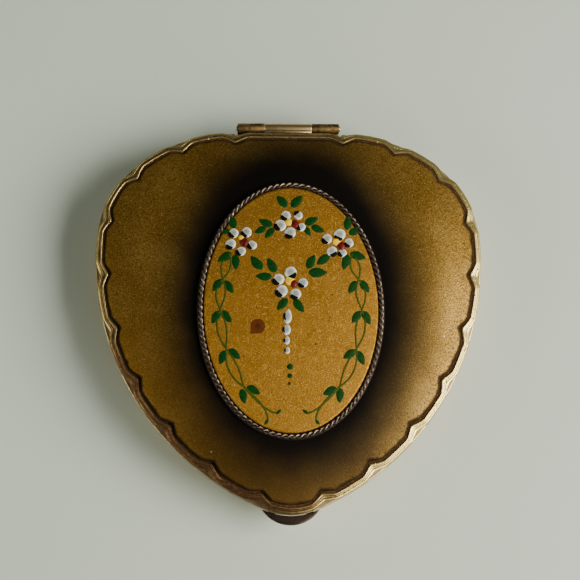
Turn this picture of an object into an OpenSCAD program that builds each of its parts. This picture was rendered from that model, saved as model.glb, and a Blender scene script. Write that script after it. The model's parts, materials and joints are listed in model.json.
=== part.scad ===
// Heart-shaped trinket box: a thin hinged vanity case in gilt brass. The lid is a scalloped frame
// round a lacquered dome that carries a painted oval plaque. Millimetres, +Z up, the tip of the
// heart towards -Y, the hinge towards +Y, resting on Z = 0.

/* [Outline] */
// Width over the widest part of the heart
case_w = 76.2; // [62:0.2:94]
// Length of the straight at the hinge
hinge_flat = 21.6; // [18:0.2:26]
// Turn of the outline over each shoulder, in degrees
shoulder_turn = 41; // [36:1:45]
// Turn of the outline round each corner, in degrees
corner_turn = 44; // [40:1:48]
// Radius of each corner
corner_r = 20; // [16:0.5:24]
// Turn of the outline from the axis to where the tip's arc ends, in degrees
tip_turn = 22; // [18:1:26]
// Radius of the tip
tip_r = 12.5; // [12:0.25:15]

/* [Scallops] */
// Scallops down each side, between the hinge straight and the tip
scallops = 9; // [7:1:11]
// Half length of the scallop at the tip
tip_scallop_half = 7; // [6:0.25:9]
// Half width of a notch between two scallops
notch_half = 2.7; // [2:0.1:3.2]
// Depth of a notch in the rim's outer edge
notch_depth = 0.65; // [0.4:0.05:1]
// Depth of a notch in the rim's inner edge
inner_notch_depth = 1.15; // [0.7:0.05:1.4]

/* [Base] */
// Height of the seam where the lid meets the base
seam_z = 9.4; // [9.2:0.1:12]
// Thickness of the pan
pan_wall = 0.5; // [0.4:0.05:0.6]
// Thickness of the pan's floor
pan_floor = 0.6; // [0.5:0.05:0.8]
// Step of the pan's wall in from the outline
pan_inset = 0.8; // [0.7:0.05:1]
// Thickness of the rim's flange
flange_t = 0.8; // [0.6:0.05:1]
// Flange standing proud of the lid's outline
flange_proud = 0.1; // [0:0.05:0.3]
// Clearance between the collar and the lid's skirt at the notches
collar_clear = 0.35; // [0.25:0.05:0.6]
// Thickness of the collar, of the well and of the other drawn sheets
sheet = 0.5; // [0.4:0.05:0.5]
// Height of the collar above the seam
collar_h = 1.2; // [0.8:0.05:1.25]
// Width of the step that carries the deck
deck_step = 0.9; // [0.7:0.05:1.1]
// Thickness of the deck round the well
deck_t = 0.4; // [0.3:0.05:0.5]
// Depth of the deck below the seam
deck_drop = 0.8; // [0.75:0.05:1]
// Clearance between the catch's guide and the well's wall
well_clear = 1.3; // [0.5:0.1:3]

/* [Lid] */
// Gap at the seam between the lid and the flange
seam_gap = 0.15; // [0.1:0.05:0.25]
// Height of the lid's scalloped skirt
skirt_h = 1.75; // [1.7:0.05:2.2]
// Width of the gilt rim round the lacquered dome
rim_w = 1.4; // [1.2:0.05:1.5]
// Groove between the rim and the dome
groove = 0.2; // [0.15:0.05:0.3]
// Rise of the dome from the outline to the plaque's seat
dome_rise = 2.9; // [2.2:0.1:3.5]
// Thickness of the dome
dome_t = 0.45; // [0.35:0.05:0.5]

/* [Plaque] */
// Width of the plaque over its bezel
plaque_w = 36.5; // [32:0.25:38]
// Length of the plaque over its bezel
plaque_l = 51; // [46:0.25:52]
// Distance of the plaque's centre from the hinge end of the outline
plaque_from_hinge = 36.8; // [36:0.2:38]
// Width of the rope bezel
bezel_w = 1.35; // [1:0.05:1.6]
// Height of the rope bezel
bezel_h = 1.4; // [1.1:0.05:1.8]
// Height of the plaque's edge above its seat
plaque_edge_h = 0.9; // [0.7:0.05:1.1]
// Crown of the plaque above its edge
plaque_crown = 0.9; // [0.5:0.05:1.2]

/* [Mirror] */
// Clearance between the mirror's frame and the lid's keeper
mirror_clear = 0.1; // [0.05:0.05:0.3]
// Thickness of the mirror
mirror_t = 0.9; // [0.8:0.05:1]
// Width of the lip that holds the mirror
mirror_lip = 1.5; // [1.2:0.05:2]
// Thickness of the card behind the mirror
card_t = 0.3; // [0.2:0.05:0.4]

/* [Hinge] */
// Outer radius of the hinge's knuckles
knuckle_r = 1.05; // [0.9:0.05:1.05]
// Radius of the hinge pin
pin_r = 0.4; // [0.3:0.05:0.5]
// Radial clearance of the pin in the knuckles
pin_clear = 0.05; // [0.03:0.01:0.08]
// Length of the lid's knuckle
lid_knuckle_l = 9.3; // [8:0.1:11]
// Length of each of the base's knuckles
base_knuckle_l = 5.45; // [4:0.05:5.6]
// Gap between two knuckles
knuckle_gap = 0.1; // [0.05:0.05:0.2]
// Clearance between the knuckles and the lid's skirt
knuckle_clear = 0.15; // [0.1:0.05:0.3]
// Thickness of the hinge's leaves
leaf_t = 0.4; // [0.3:0.05:0.5]

/* [Catch] */
// Travel of the thumb piece when it is pressed
press = 0.9; // [0.6:0.05:1]
// How far the thumb piece stands out past the outline
thumb_out = 1.9; // [1.5:0.05:2.4]
// Radius of the thumb piece
thumb_r = 7.6; // [6.8:0.1:8.4]
// Height of the thumb piece
thumb_h = 1.6; // [1.2:0.05:1.7]
// Half width of the gap between the slide's two arms
fork_half = 3; // [2.8:0.05:3.2]
// Width of each arm of the slide
arm_w = 1.4; // [1.2:0.05:1.6]
// Thickness of the slide
slide_t = 0.4; // [0.3:0.05:0.4]
// Running clearance round the catch
catch_clear = 0.1; // [0.08:0.01:0.12]

/* [Well] */
// Height of the sifter's frame
sifter_h = 1.6; // [1.2:0.1:1.8]
// Width of the sifter's frame
sifter_w = 2.2; // [1.6:0.1:3]
// Least clearance round the velour puff
puff_clear = 3; // [1:0.1:8]
// Thickness of the puff
puff_t = 2.4; // [2:0.1:2.6]
// Width of the puff's ribbon
ribbon_w = 10.5; // [7:0.5:12]
// Thickness of the ribbon
ribbon_t = 0.35; // [0.3:0.05:0.5]

/* [Hidden] */
gilt = "goldenrod";
lacquer = "saddlebrown";

// ---- The outline: a straight at the hinge, then four arcs a side, each tangent to the next ----
// Headings are the arc's outward direction, in degrees from +Y towards +X.
half_w = case_w / 2;
flat_half = hinge_flat / 2;
h_shoulder = shoulder_turn;
h_corner = h_shoulder + corner_turn;
h_flank = 180 - tip_turn;
// The flank's radius closes the outline at the tip, and the shoulder's gives it the stated width.
flank_r = (half_w - tip_r * sin(h_flank)) / (1 - sin(h_flank));
shoulder_r = (half_w - flat_half - corner_r * (sin(h_corner) - sin(h_shoulder))
    - flank_r * (1 - sin(h_corner))) / sin(h_shoulder);
function way(h) = [sin(h), cos(h)];
// Arc centres, first with the hinge straight at Y = 0.
raw_shoulder = [flat_half, -shoulder_r];
raw_corner = raw_shoulder + (shoulder_r - corner_r) * way(h_shoulder);
raw_flank = raw_corner + (corner_r - flank_r) * way(h_corner);
raw_tip = raw_flank + (flank_r - tip_r) * way(h_flank);
outline_l = tip_r - raw_tip[1];
// The origin is midway between the back of the hinge and the front of the thumb piece.
pin_behind = knuckle_r + knuckle_clear;
back_y = (outline_l + thumb_out - pin_behind - knuckle_r) / 2;
tip_y = back_y - outline_l;
up = [0, back_y];
// Each arc: centre, radius, first heading, last heading.
arcs = [
    [raw_shoulder + up, shoulder_r, 0, h_shoulder],
    [raw_corner + up, corner_r, h_shoulder, h_corner],
    [raw_flank + up, flank_r, h_corner, h_flank],
    [raw_tip + up, tip_r, h_flank, 180],
];
function arc_l(a) = a[1] * (a[3] - a[2]) * PI / 180;
arc_ends = [for (i = 0, s = flat_half + arc_l(arcs[0]); i < 4;
    i = i + 1, s = s + (i < 4 ? arc_l(arcs[i]) : 0)) s];
half_l = arc_ends[3];

// A point of the outline, s along it from the hinge's middle and d inside it, on the +X side.
function arc_at(s) = s <= arc_ends[0] ? 0 : s <= arc_ends[1] ? 1 : s <= arc_ends[2] ? 2 : 3;
function at(s, d) = s <= flat_half ? [s, back_y - d] :
    let (i = arc_at(s), a = arcs[i], h = a[3] - (arc_ends[i] - s) / a[1] * 180 / PI)
    a[0] + (a[1] - d) * way(h);
function mirrored(p) = concat(p, [for (i = [len(p) - 1:-1:0]) if (p[i][0] > 0.01) [-p[i][0], p[i][1]]]);

// The smooth outline, moved inwards by d, with a point every few degrees.
arc_step = 6;
function arc_points(a, d) = let (n = ceil((a[3] - a[2]) / arc_step))
    [for (i = [1:n]) a[0] + (a[1] - d) * way(a[2] + (a[3] - a[2]) * i / n)];
function smooth_ring(d) = mirrored(concat([[flat_half, back_y - d]], [for (a = arcs) each arc_points(a, d)]));

// The scalloped outline: notches at an even pitch, V-shaped with a soft bottom.
pitch = (half_l - flat_half - tip_scallop_half) / scallops;
notch_soft = 0.12;
function notch(u, depth) = let (a = min(abs(u) / notch_half, 1))
    depth * (1 - (sqrt(a * a + notch_soft * notch_soft) - notch_soft)
    / (sqrt(1 + notch_soft * notch_soft) - notch_soft));
notch_steps = [-1, -0.5, -0.18, 0, 0.18, 0.5, 1];
plain = pitch - 2 * notch_half;
stations = concat([0, flat_half / 2],
    [for (k = [0:scallops]) each concat(
        [for (u = notch_steps) flat_half + k * pitch + u * notch_half],
        k < scallops ? [flat_half + k * pitch + notch_half + plain / 2] : [])],
    [half_l - (tip_scallop_half - notch_half) / 2, half_l]);
function nearest_notch(s) = let (k = round((s - flat_half) / pitch))
    s - flat_half - pitch * max(0, min(scallops, k));
function scallop_half(d, depth) = [for (s = stations) at(s, d + notch(nearest_notch(s), depth))];
function scallop_ring(d, depth) = mirrored(scallop_half(d, depth));

module plate(ring, z0, z1) { translate([0, 0, z0]) linear_extrude(z1 - z0) polygon(ring); }
module band(outer, inner, z0, z1) {
    translate([0, 0, z0]) linear_extrude(z1 - z0) difference() {
        polygon(outer);
        polygon(inner);
    }
}
// A block from one low corner to one high corner, and a row of two of them mirrored in X.
module block(x0, x1, y0, y1, z0, z1) { translate([x0, y0, z0]) cube([x1 - x0, y1 - y0, z1 - z0]); }
module both_sides() {
    children();
    mirror([1, 0, 0]) children();
}
// A closed solid lofted through rings of equal length, from the first ring's cap to the last's.
module loft(rings) {
    n = len(rings[0]);
    m = len(rings);
    polyhedron(points = [for (r = rings) each r], faces = concat(
        [[for (i = [0:n - 1]) i]],
        [for (j = [0:m - 2]) for (i = [0:n - 1])
            [j * n + i, (j + 1) * n + i, (j + 1) * n + (i + 1) % n, j * n + (i + 1) % n]],
        [[for (i = [n - 1:-1:0]) (m - 1) * n + i]]), convexity = 6);
}
function lifted(ring, z) = [for (p = ring) [p[0], p[1], z]];

// ---- Steps in from the outline, for the pieces that pass each other when the lid closes ----
collar_inset = notch_depth + sheet + collar_clear;
collar_in = collar_inset + sheet;
keeper_gap = 0.45;
keeper_lip = 0.45;
keeper_y = tip_y + collar_in + keeper_gap;
lip_end = keeper_y + sheet + keeper_lip;
mirror_inset = lip_end - tip_y + mirror_clear;
// The catch: the slide's nose lies just behind the keeper's lip, with its bar behind the nose.
lip_gap = 0.05;
nose_l = 0.45;
bar_w = 1.4;
nose_y = lip_end + lip_gap;
bar_y = nose_y + nose_l;
bar_end = bar_y + bar_w;
spring_room = 1.5;
guide_back = bar_end + press + spring_room;
well_inset = guide_back + sheet - tip_y + well_clear;

// ---- Heights ----
pan_top = seam_z - flange_t;
deck_top = seam_z - deck_drop;
step_z = deck_top - deck_t;
step_t = 0.3;
skirt_z = seam_z + seam_gap;
rim_top = skirt_z + skirt_h;
collar_top = seam_z + collar_h;
ledge_t = 0.3;
ledge_top = rim_top - 0.2;
ledge_z = ledge_top - ledge_t;
dome_z0 = ledge_top;
seat_z = dome_z0 + dome_rise;
slide_top = step_z - step_t - catch_clear;
slide_z = slide_top - slide_t;

// ---- The base ----
foot_inset = 3.2;
slot_x = [fork_half - catch_clear, fork_half + arm_w + catch_clear];
module base_pan() color(gilt) difference() {
    // Drawn in one piece: floor, round heel and upright wall, outside first and inside last.
    outside = [[foot_inset, 0], [1.9, 0.3], [1.15, 1.1], [pan_inset, 2.4], [pan_inset, pan_top]];
    inside = [[pan_inset + pan_wall, pan_top], [pan_inset + pan_wall, 2.6],
        [1.65, 1.5], [2.3, 0.85], [foot_inset + 0.3, pan_floor]];
    loft([for (p = concat(outside, inside)) lifted(smooth_ring(p[0]), p[1])]);
    both_sides() block(slot_x[0], slot_x[1], tip_y - 1, tip_y + 3,
        slide_z - catch_clear, slide_top + catch_clear);
}
hinge_half = lid_knuckle_l / 2 + knuckle_gap + base_knuckle_l;
keeper_half = 2.5;
keeper_slot = keeper_half + 0.6;
module base_rim() color(gilt) difference() {
    union() {
        band(smooth_ring(-flange_proud), smooth_ring(collar_inset), pan_top, seam_z);
        band(smooth_ring(collar_inset), smooth_ring(collar_in), step_z - step_t, collar_top);
        band(smooth_ring(collar_in), smooth_ring(collar_in + deck_step), step_z - step_t, step_z);
    }
    // Room for the hinge behind the flange, and for the keeper at the tip.
    block(-hinge_half - 0.3, hinge_half + 0.3, leaf_y - 0.1, back_y + 1, pan_top - 1, seam_z + 1);
    block(-keeper_slot, keeper_slot, tip_y + collar_in + 0.1, lip_end + 2, step_z - 1, step_z + 0.1);
}
deck_inset = collar_in + 0.15;
well_in = well_inset + sheet;
module well_pan() color(gilt) difference() {
    union() {
        band(smooth_ring(deck_inset), smooth_ring(well_inset), step_z, deck_top);
        band(smooth_ring(well_inset), smooth_ring(well_in), pan_floor, deck_top);
        plate(smooth_ring(well_in), pan_floor, pan_floor + deck_t);
    }
    block(-keeper_slot, keeper_slot, tip_y, lip_end + 0.7, step_z - 1, deck_top + 1);
}
sifter_in = well_in + 0.2;
// The frame's inner edge keeps a little of the tip's own radius.
sifter_inner = min(sifter_in + sifter_w, tip_r - 0.1);
sifter_z = pan_floor + deck_t;
net_t = 0.3;
module sifter_frame() color(gilt) {
    band(smooth_ring(sifter_in), smooth_ring(sifter_in + sheet), sifter_z, sifter_z + sifter_h);
    band(smooth_ring(sifter_in + sheet / 2), smooth_ring(sifter_inner),
        sifter_z + sifter_h - net_t - 0.3, sifter_z + sifter_h - net_t);
}
module sifter_net() color("linen") plate(smooth_ring(sifter_in + sheet),
    sifter_z + sifter_h - net_t, sifter_z + sifter_h);
// The puff is round, and lies behind the middle of the well, where the well is widest.
puff_y = (back_y + tip_y) / 2 + 4;
puff_z = sifter_z + sifter_h;
puff_r = min([for (p = smooth_ring(well_in)) norm(p - [0, puff_y])]) - puff_clear;
module puff_pad() color("moccasin") translate([0, puff_y, puff_z]) rotate_extrude($fn = 96) {
    // A flat pad with a half-round edge.
    square([puff_r - puff_t / 2, puff_t]);
    translate([puff_r - puff_t / 2, puff_t / 2]) intersection() {
        circle(puff_t / 2, $fn = 32);
        translate([0, -puff_t]) square([puff_t, 2 * puff_t]);
    }
}
ribbon_half = puff_r - 3;
module puff_ribbon() color("rosybrown") block(-ribbon_half, ribbon_half, puff_y - ribbon_w / 2,
    puff_y + ribbon_w / 2, puff_z + puff_t, puff_z + puff_t + ribbon_t);

// ---- The hinge ----
pin_y = back_y + pin_behind;
pin_z = skirt_z - 0.05;
module along_pin(x0, x1, r) {
    translate([x0, pin_y, pin_z]) rotate([0, 90, 0]) cylinder(h = x1 - x0, r = r, $fn = 48);
}
leaf_y = back_y - pan_inset + leaf_t;
leaf_top = pin_z - knuckle_r + leaf_t + 0.1;
module base_hinge_leaf() color(gilt) difference() {
    // Two knuckles, each on a strip that folds down the back of the pan.
    x0 = lid_knuckle_l / 2 + knuckle_gap;
    both_sides() {
        along_pin(x0, hinge_half, knuckle_r);
        block(x0, hinge_half, leaf_y, pin_y, leaf_top - leaf_t, leaf_top);
        block(x0, hinge_half, back_y - pan_inset, leaf_y, pan_top - 2.6, leaf_top);
    }
    along_pin(-hinge_half - 1, hinge_half + 1, pin_r + pin_clear);
    // The flange fills this band where the leaf passes behind it.
    block(-hinge_half - 1, hinge_half + 1, back_y - pan_inset - 0.1, leaf_y - 0.1, pan_top, seam_z);
}
pin_head_t = 0.3;
module hinge_pin() color("silver") {
    along_pin(-hinge_half - pin_head_t, hinge_half + pin_head_t, pin_r);
    both_sides() along_pin(hinge_half, hinge_half + pin_head_t, pin_r + 0.15);
}
module lid_hinge_leaf() color(gilt) difference() {
    union() {
        along_pin(-lid_knuckle_l / 2, lid_knuckle_l / 2, knuckle_r);
        block(-lid_knuckle_l / 2, lid_knuckle_l / 2, back_y, back_y + leaf_t, pin_z + 0.1, rim_top - 0.4);
    }
    along_pin(-lid_knuckle_l, lid_knuckle_l, pin_r + pin_clear);
}

// ---- The catch at the tip: a thumb piece on a forked slide, pressed inwards against a spring ----
thumb_gap = press + 0.2 - pan_inset;
thumb_z = pan_top - 0.2 - thumb_h;
module thumb_piece() color(gilt) difference() {
    translate([0, tip_y - thumb_out + thumb_r, thumb_z]) cylinder(h = thumb_h, r = thumb_r, $fn = 96);
    plate(smooth_ring(-thumb_gap), thumb_z - 1, thumb_z + thumb_h + 1);
}
module catch_slide() color(gilt) {
    intersection() {
        plate(smooth_ring(-thumb_gap), slide_z, slide_top);
        both_sides() block(fork_half, fork_half + arm_w, tip_y - 1, bar_end, slide_z - 1, slide_top + 1);
    }
    block(-fork_half, fork_half, bar_y, bar_end, slide_z, slide_top);
    block(-keeper_half + 0.5, keeper_half - 0.5, nose_y, bar_y, slide_z, slide_top);
}
guide_x = fork_half + arm_w + catch_clear;
guide_top = step_z;
post_w = 1.6;
module catch_guide() color(gilt) difference() {
    // A staple under the deck: a plate below the slide, two posts beside it and a wall behind it.
    union() {
        block(-guide_x - post_w, guide_x + post_w, bar_y + 0.2, guide_back + sheet,
            slide_z - catch_clear - sheet, slide_z - catch_clear);
        both_sides() block(guide_x, guide_x + post_w, bar_y + 0.2, guide_back + sheet,
            slide_z - catch_clear, guide_top);
        block(-guide_x, guide_x, guide_back, guide_back + sheet, slide_z - catch_clear, guide_top);
    }
    band(smooth_ring(-2), smooth_ring(collar_in + deck_step + 0.1), step_z - step_t - 0.1, step_z + 1);
}
rivet_r = 0.45;
module guide_rivets() color("silver") both_sides()
    translate([guide_x + post_w / 2, bar_y + 1.8, deck_top]) cylinder(h = 0.3, r = rivet_r, $fn = 32);
spring_t = 0.2;
module catch_spring() color("silver") {
    // A bowed leaf: its ends bear on the guide's wall and its crown on the slide's bar.
    bow = guide_back - bar_end;
    chord = fork_half + 0.6;
    bow_r = (chord * chord + bow * bow) / (2 * bow);
    intersection() {
        translate([0, bar_end + bow_r, slide_z]) difference() {
            cylinder(h = slide_t, r = bow_r, $fn = 96);
            translate([0, 0, -1]) cylinder(h = slide_t + 2, r = bow_r - spring_t, $fn = 96);
        }
        block(-chord, chord, bar_end, guide_back, slide_z - 1, slide_top + 1);
    }
}

// ---- The lid ----
dome_inset = rim_w + groove;
module lid_frame() color(gilt) {
    // Skirt, gilt rim and the ledge that carries the dome, in one folded strip.
    outer = scallop_ring(0, notch_depth);
    band(outer, scallop_ring(sheet, notch_depth), skirt_z, ledge_z);
    band(outer, scallop_ring(rim_w, inner_notch_depth), ledge_z, rim_top);
    band(scallop_ring(rim_w, inner_notch_depth), smooth_ring(mirror_inset + 0.2), ledge_z, ledge_top);
}
plaque_y = back_y - plaque_from_hinge;
plaque_centre = [0, plaque_y];
// The plaque's ellipse, shrunk by d, in the direction of a point as seen from its centre.
function oval_at(p, d) = let (a = plaque_w / 2 - d, b = plaque_l / 2 - d, v = p - plaque_centre)
    plaque_centre + v / sqrt(pow(v[0] / a, 2) + pow(v[1] / b, 2));
seat_margin = 0.4;
// The dome's ring at share t of the way from its edge, d inside the outline, to the plaque's seat.
function dome_ring(t, d, drop) = let (edge = scallop_ring(d, inner_notch_depth), line = scallop_ring(0, 0))
    [for (i = [0:len(edge) - 1]) let (
        seat = oval_at(line[i], -seat_margin),
        t0 = norm(edge[i] - line[i]) / norm(seat - line[i]),
        p = edge[i] + t * (seat - edge[i]),
        z = dome_z0 + dome_rise * (1 - pow((1 - t0) * (1 - t), 2)) - drop)
        [p[0], p[1], z]];
module lid_panel() color(lacquer) {
    inner_d = dome_inset + sheet;
    top_steps = [0, 0.12, 0.28, 0.48, 0.72, 1];
    loft(concat(
        [for (i = [len(top_steps) - 1:-1:0]) dome_ring(top_steps[i], dome_inset, 0)],
        [lifted(scallop_ring(dome_inset, inner_notch_depth), ledge_top),
            lifted(scallop_ring(inner_d, inner_notch_depth), ledge_top)],
        [for (t = [0, 0.3, 0.6, 1]) dome_ring(t, inner_d, dome_t)]));
}
oval_n = 72;
function oval(d) = [for (i = [0:oval_n - 1]) let (a = 360 * i / oval_n)
    plaque_centre + [(plaque_w / 2 - d) * sin(a), (plaque_l / 2 - d) * cos(a)]];
module plaque_bezel() color(gilt) band(oval(0), oval(bezel_w), seat_z, seat_z + bezel_h);
function crown_ring(k) = let (z = seat_z + plaque_edge_h + plaque_crown * (1 - k * k))
    lifted([for (p = oval(bezel_w)) plaque_centre + k * (p - plaque_centre)], z);
module oval_plaque() color("darkgoldenrod")
    loft(concat([for (k = [0.15, 0.4, 0.6, 0.8, 1]) crown_ring(k)], [lifted(oval(bezel_w), seat_z)]));
glass_inset = mirror_inset + sheet + 0.15;
lip_t = 0.3;
frame_z = ledge_z - 1;
glass_z = frame_z + lip_t;
module mirror_frame() color(gilt) {
    band(smooth_ring(mirror_inset), smooth_ring(mirror_inset + sheet), frame_z, ledge_z);
    band(smooth_ring(mirror_inset + sheet), smooth_ring(mirror_inset + sheet + mirror_lip), frame_z, glass_z);
}
card_z = glass_z + mirror_t;
module mirror_glass() color("lightblue") plate(smooth_ring(glass_inset), glass_z, card_z);
module mirror_card() color("tan") plate(smooth_ring(glass_inset), card_z, card_z + card_t);
lip_z = slide_z - catch_clear - 0.4;
module lid_keeper() color(gilt) {
    block(-keeper_half, keeper_half, keeper_y, keeper_y + sheet, lip_z, ledge_z);
    block(-keeper_half, keeper_half, keeper_y + sheet, lip_end, lip_z, lip_z + 0.4);
    block(-keeper_half, keeper_half, keeper_y - 0.15, keeper_y, ledge_z - 0.15, ledge_z);
}

base_pan();
base_rim();
well_pan();
sifter_frame();
sifter_net();
puff_pad();
puff_ribbon();
base_hinge_leaf();
hinge_pin();
catch_guide();
guide_rivets();
catch_spring();
thumb_piece();
catch_slide();
lid_frame();
lid_panel();
plaque_bezel();
oval_plaque();
mirror_frame();
mirror_glass();
mirror_card();
lid_hinge_leaf();
lid_keeper();
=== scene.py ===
"""A flat heart-shaped trinket box in gilt brass: a drawn base with a well, sifter and puff, and a scalloped
lid with a lacquered dome, an oval plaque of painted flowers and a mirror inside. Lengths in the sections
are millimetres in the frame's own axes; build() turns them into metres."""

import json

import bpy
import numpy as np
from mathutils import Matrix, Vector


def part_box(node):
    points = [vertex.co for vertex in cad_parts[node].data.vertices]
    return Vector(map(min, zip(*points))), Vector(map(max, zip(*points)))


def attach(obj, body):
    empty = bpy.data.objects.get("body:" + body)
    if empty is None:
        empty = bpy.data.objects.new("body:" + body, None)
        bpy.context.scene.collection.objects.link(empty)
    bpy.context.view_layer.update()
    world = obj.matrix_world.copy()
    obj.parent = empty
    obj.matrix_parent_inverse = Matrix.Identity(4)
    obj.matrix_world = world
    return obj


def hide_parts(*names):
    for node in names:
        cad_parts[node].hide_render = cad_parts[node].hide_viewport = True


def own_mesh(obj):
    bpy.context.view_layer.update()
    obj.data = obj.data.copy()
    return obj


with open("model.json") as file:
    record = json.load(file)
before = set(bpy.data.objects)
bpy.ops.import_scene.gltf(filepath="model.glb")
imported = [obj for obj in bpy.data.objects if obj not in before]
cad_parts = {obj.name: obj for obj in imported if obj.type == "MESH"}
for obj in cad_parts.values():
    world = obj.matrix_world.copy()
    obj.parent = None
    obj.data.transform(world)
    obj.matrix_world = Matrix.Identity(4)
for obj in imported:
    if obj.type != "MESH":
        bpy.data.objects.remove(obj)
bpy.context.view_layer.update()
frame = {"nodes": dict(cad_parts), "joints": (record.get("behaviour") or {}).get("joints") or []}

# ======================================================================================================
# Base pan. The shell under the lid, drawn from one sheet of brass: a flat floor, a round heel and an
# upright wall that follows the heart's outline. It is gilded, then dulled by handling and age.
# ======================================================================================================

MM = 0.001


def ends(node):
    """The lowest and highest corners of a CAD node, in millimetres."""
    low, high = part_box(node)
    return np.array(low) / MM, np.array(high) / MM


# The outline is a straight at the hinge and four arcs a side, each tangent to the next. The turns are
# in degrees; the flank's radius closes the tip, and the shoulder's gives the case its width.
rim_low, rim_high = ends("lid_frame")
HALF_WIDTH, BACK_Y, TIP_Y = rim_high[0], rim_high[1], rim_low[1]
FLAT_HALF = 10.8
SHOULDER_TURN, CORNER_TURN, TIP_TURN = 41, 44, 22
CORNER_R, TIP_R = 20.0, 12.5
turns = np.radians([SHOULDER_TURN, SHOULDER_TURN + CORNER_TURN, 180 - TIP_TURN, 180])
flank_r = (HALF_WIDTH - TIP_R * np.sin(turns[2])) / (1 - np.sin(turns[2]))
shoulder_r = (
    HALF_WIDTH - FLAT_HALF - CORNER_R * (np.sin(turns[1]) - np.sin(turns[0]))
    - flank_r * (1 - np.sin(turns[1]))
) / np.sin(turns[0])
arc_radius = np.array([shoulder_r, CORNER_R, flank_r, TIP_R])
arc_start = np.concatenate([[0], turns[:-1]])
arc_end_s = FLAT_HALF + np.cumsum(arc_radius * (turns - arc_start))
HALF_LENGTH = arc_end_s[-1]
arc_centre = np.zeros((4, 2))
arc_centre[0] = FLAT_HALF, BACK_Y - shoulder_r
for i in (1, 2, 3):
    step = arc_radius[i - 1] - arc_radius[i]
    arc_centre[i] = arc_centre[i - 1] + step * np.array([np.sin(turns[i - 1]), np.cos(turns[i - 1])])

# Notches between the scallops, at an even pitch down each side.
SCALLOPS = 9
TIP_SCALLOP_HALF = 7.0
NOTCH_HALF, NOTCH_SOFT, NOTCH_EASE = 2.7, 0.1, 1.25
PITCH = (HALF_LENGTH - FLAT_HALF - TIP_SCALLOP_HALF) / SCALLOPS


def outline(s, inset):
    """Points on the heart's outline: s along it from the hinge's middle, positive towards +X, moved
    inwards by inset. On an arc the heading falls back from its last one by the length that is left,
    over the radius."""
    s, inset = np.broadcast_arrays(np.asarray(s, float), np.asarray(inset, float))
    along = np.abs(s)
    arc = np.minimum(np.searchsorted(arc_end_s, along.ravel()).reshape(along.shape), 3)
    heading = turns[arc] - (arc_end_s[arc] - along) / arc_radius[arc]
    reach = arc_radius[arc] - inset
    x = arc_centre[arc, 0] + reach * np.sin(heading)
    y = arc_centre[arc, 1] + reach * np.cos(heading)
    straight = along <= FLAT_HALF
    x = np.where(straight, along, x) * np.sign(s)
    y = np.where(straight, BACK_Y - inset, y)
    return x, y


def notch(s):
    """How deep a notch is at s, from 0 on a scallop to 1 at the notch's bottom: a V with a soft bottom,
    raised to a power so that its flanks run out gently onto the scallops."""
    gap = np.abs(s) - FLAT_HALF
    nearest = np.clip(np.round(gap / PITCH), 0, SCALLOPS) * PITCH
    share = np.minimum(np.abs(gap - nearest) / NOTCH_HALF, 1)
    soft = (np.sqrt(share**2 + NOTCH_SOFT**2) - NOTCH_SOFT) / (np.sqrt(1 + NOTCH_SOFT**2) - NOTCH_SOFT)
    return (1 - soft) ** NOTCH_EASE


# Stations round the outline: even steps that land on every notch's bottom.
PER_FLAT, PER_SCALLOP, PER_TIP = 36, 48, 30
one_side = np.concatenate([
    np.linspace(0, FLAT_HALF, PER_FLAT, endpoint=False),
    np.linspace(FLAT_HALF, FLAT_HALF + SCALLOPS * PITCH, SCALLOPS * PER_SCALLOP, endpoint=False),
    np.linspace(FLAT_HALF + SCALLOPS * PITCH, HALF_LENGTH, PER_TIP),
])
stations = np.concatenate([-one_side[:0:-1], one_side[:-1]])


def rounded(corners, steps=5, closed=True):
    """A path through corners, given as rows of values with a radius last. Each corner becomes a curve
    that leaves one side and joins the next a radius away from the corner, bending towards it."""
    corners = np.asarray(corners, float)
    values, radius = corners[:, :-1], corners[:, -1]
    before, after = np.roll(values, 1, 0), np.roll(values, -1, 0)
    path = []
    for i, (here, size) in enumerate(zip(values, radius)):
        if size == 0 or (not closed and i in (0, len(values) - 1)):
            path.append(here[None])
            continue
        to_last, to_next = before[i] - here, after[i] - here
        start = here + to_last * min(size / np.linalg.norm(to_last[:2]), 0.5)
        stop = here + to_next * min(size / np.linalg.norm(to_next[:2]), 0.5)
        t = np.linspace(0, 1, steps + 1)[:, None]
        path.append((1 - t) ** 2 * start + 2 * t * (1 - t) * here + t**2 * stop)
    return np.concatenate(path)


def carry(path, s=stations, least_inset=0.0):
    """Carries a path of (inset, height, notch depth) round the outline, one ring of points per row."""
    inset = path[:, :1] + (path[:, 2:3] * notch(s) if path.shape[1] > 2 else 0)
    x, y = outline(s[None], np.maximum(inset, least_inset))
    return np.stack([x, y, np.broadcast_to(path[:, 1:2], x.shape)], -1)


def grid_faces(rows, columns, wrap_rows=False, wrap_columns=True):
    """Quads between neighbouring points of a grid, counted row by row."""
    r = np.arange(rows if wrap_rows else rows - 1)[:, None]
    c = np.arange(columns if wrap_columns else columns - 1)[None]
    r2, c2 = (r + 1) % rows, (c + 1) % columns
    quads = [r * columns + c, r2 * columns + c, r2 * columns + c2, r * columns + c2]
    return np.stack(quads, -1).reshape(-1, 4)


def volume(points, faces):
    """Six times the signed volume inside closed faces, by summing tetrahedra on the origin."""
    a = points[faces[:, 0]]
    total = 0.0
    for k in range(1, faces.shape[1] - 1):
        total += np.einsum("ij,ij->i", a, np.cross(points[faces[:, k]], points[faces[:, k + 1]])).sum()
    return total


def merge(pieces):
    """Joins (points, face arrays) pairs, each a closed surface, and turns each one's faces outwards."""
    points, faces, count = [], [], 0
    for own_points, own_faces in pieces:
        inside_out = sum(volume(own_points, f) for f in own_faces) < 0
        faces += [(f[:, ::-1] if inside_out else f) + count for f in own_faces]
        points.append(own_points)
        count += len(own_points)
    return np.concatenate(points), faces


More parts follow.
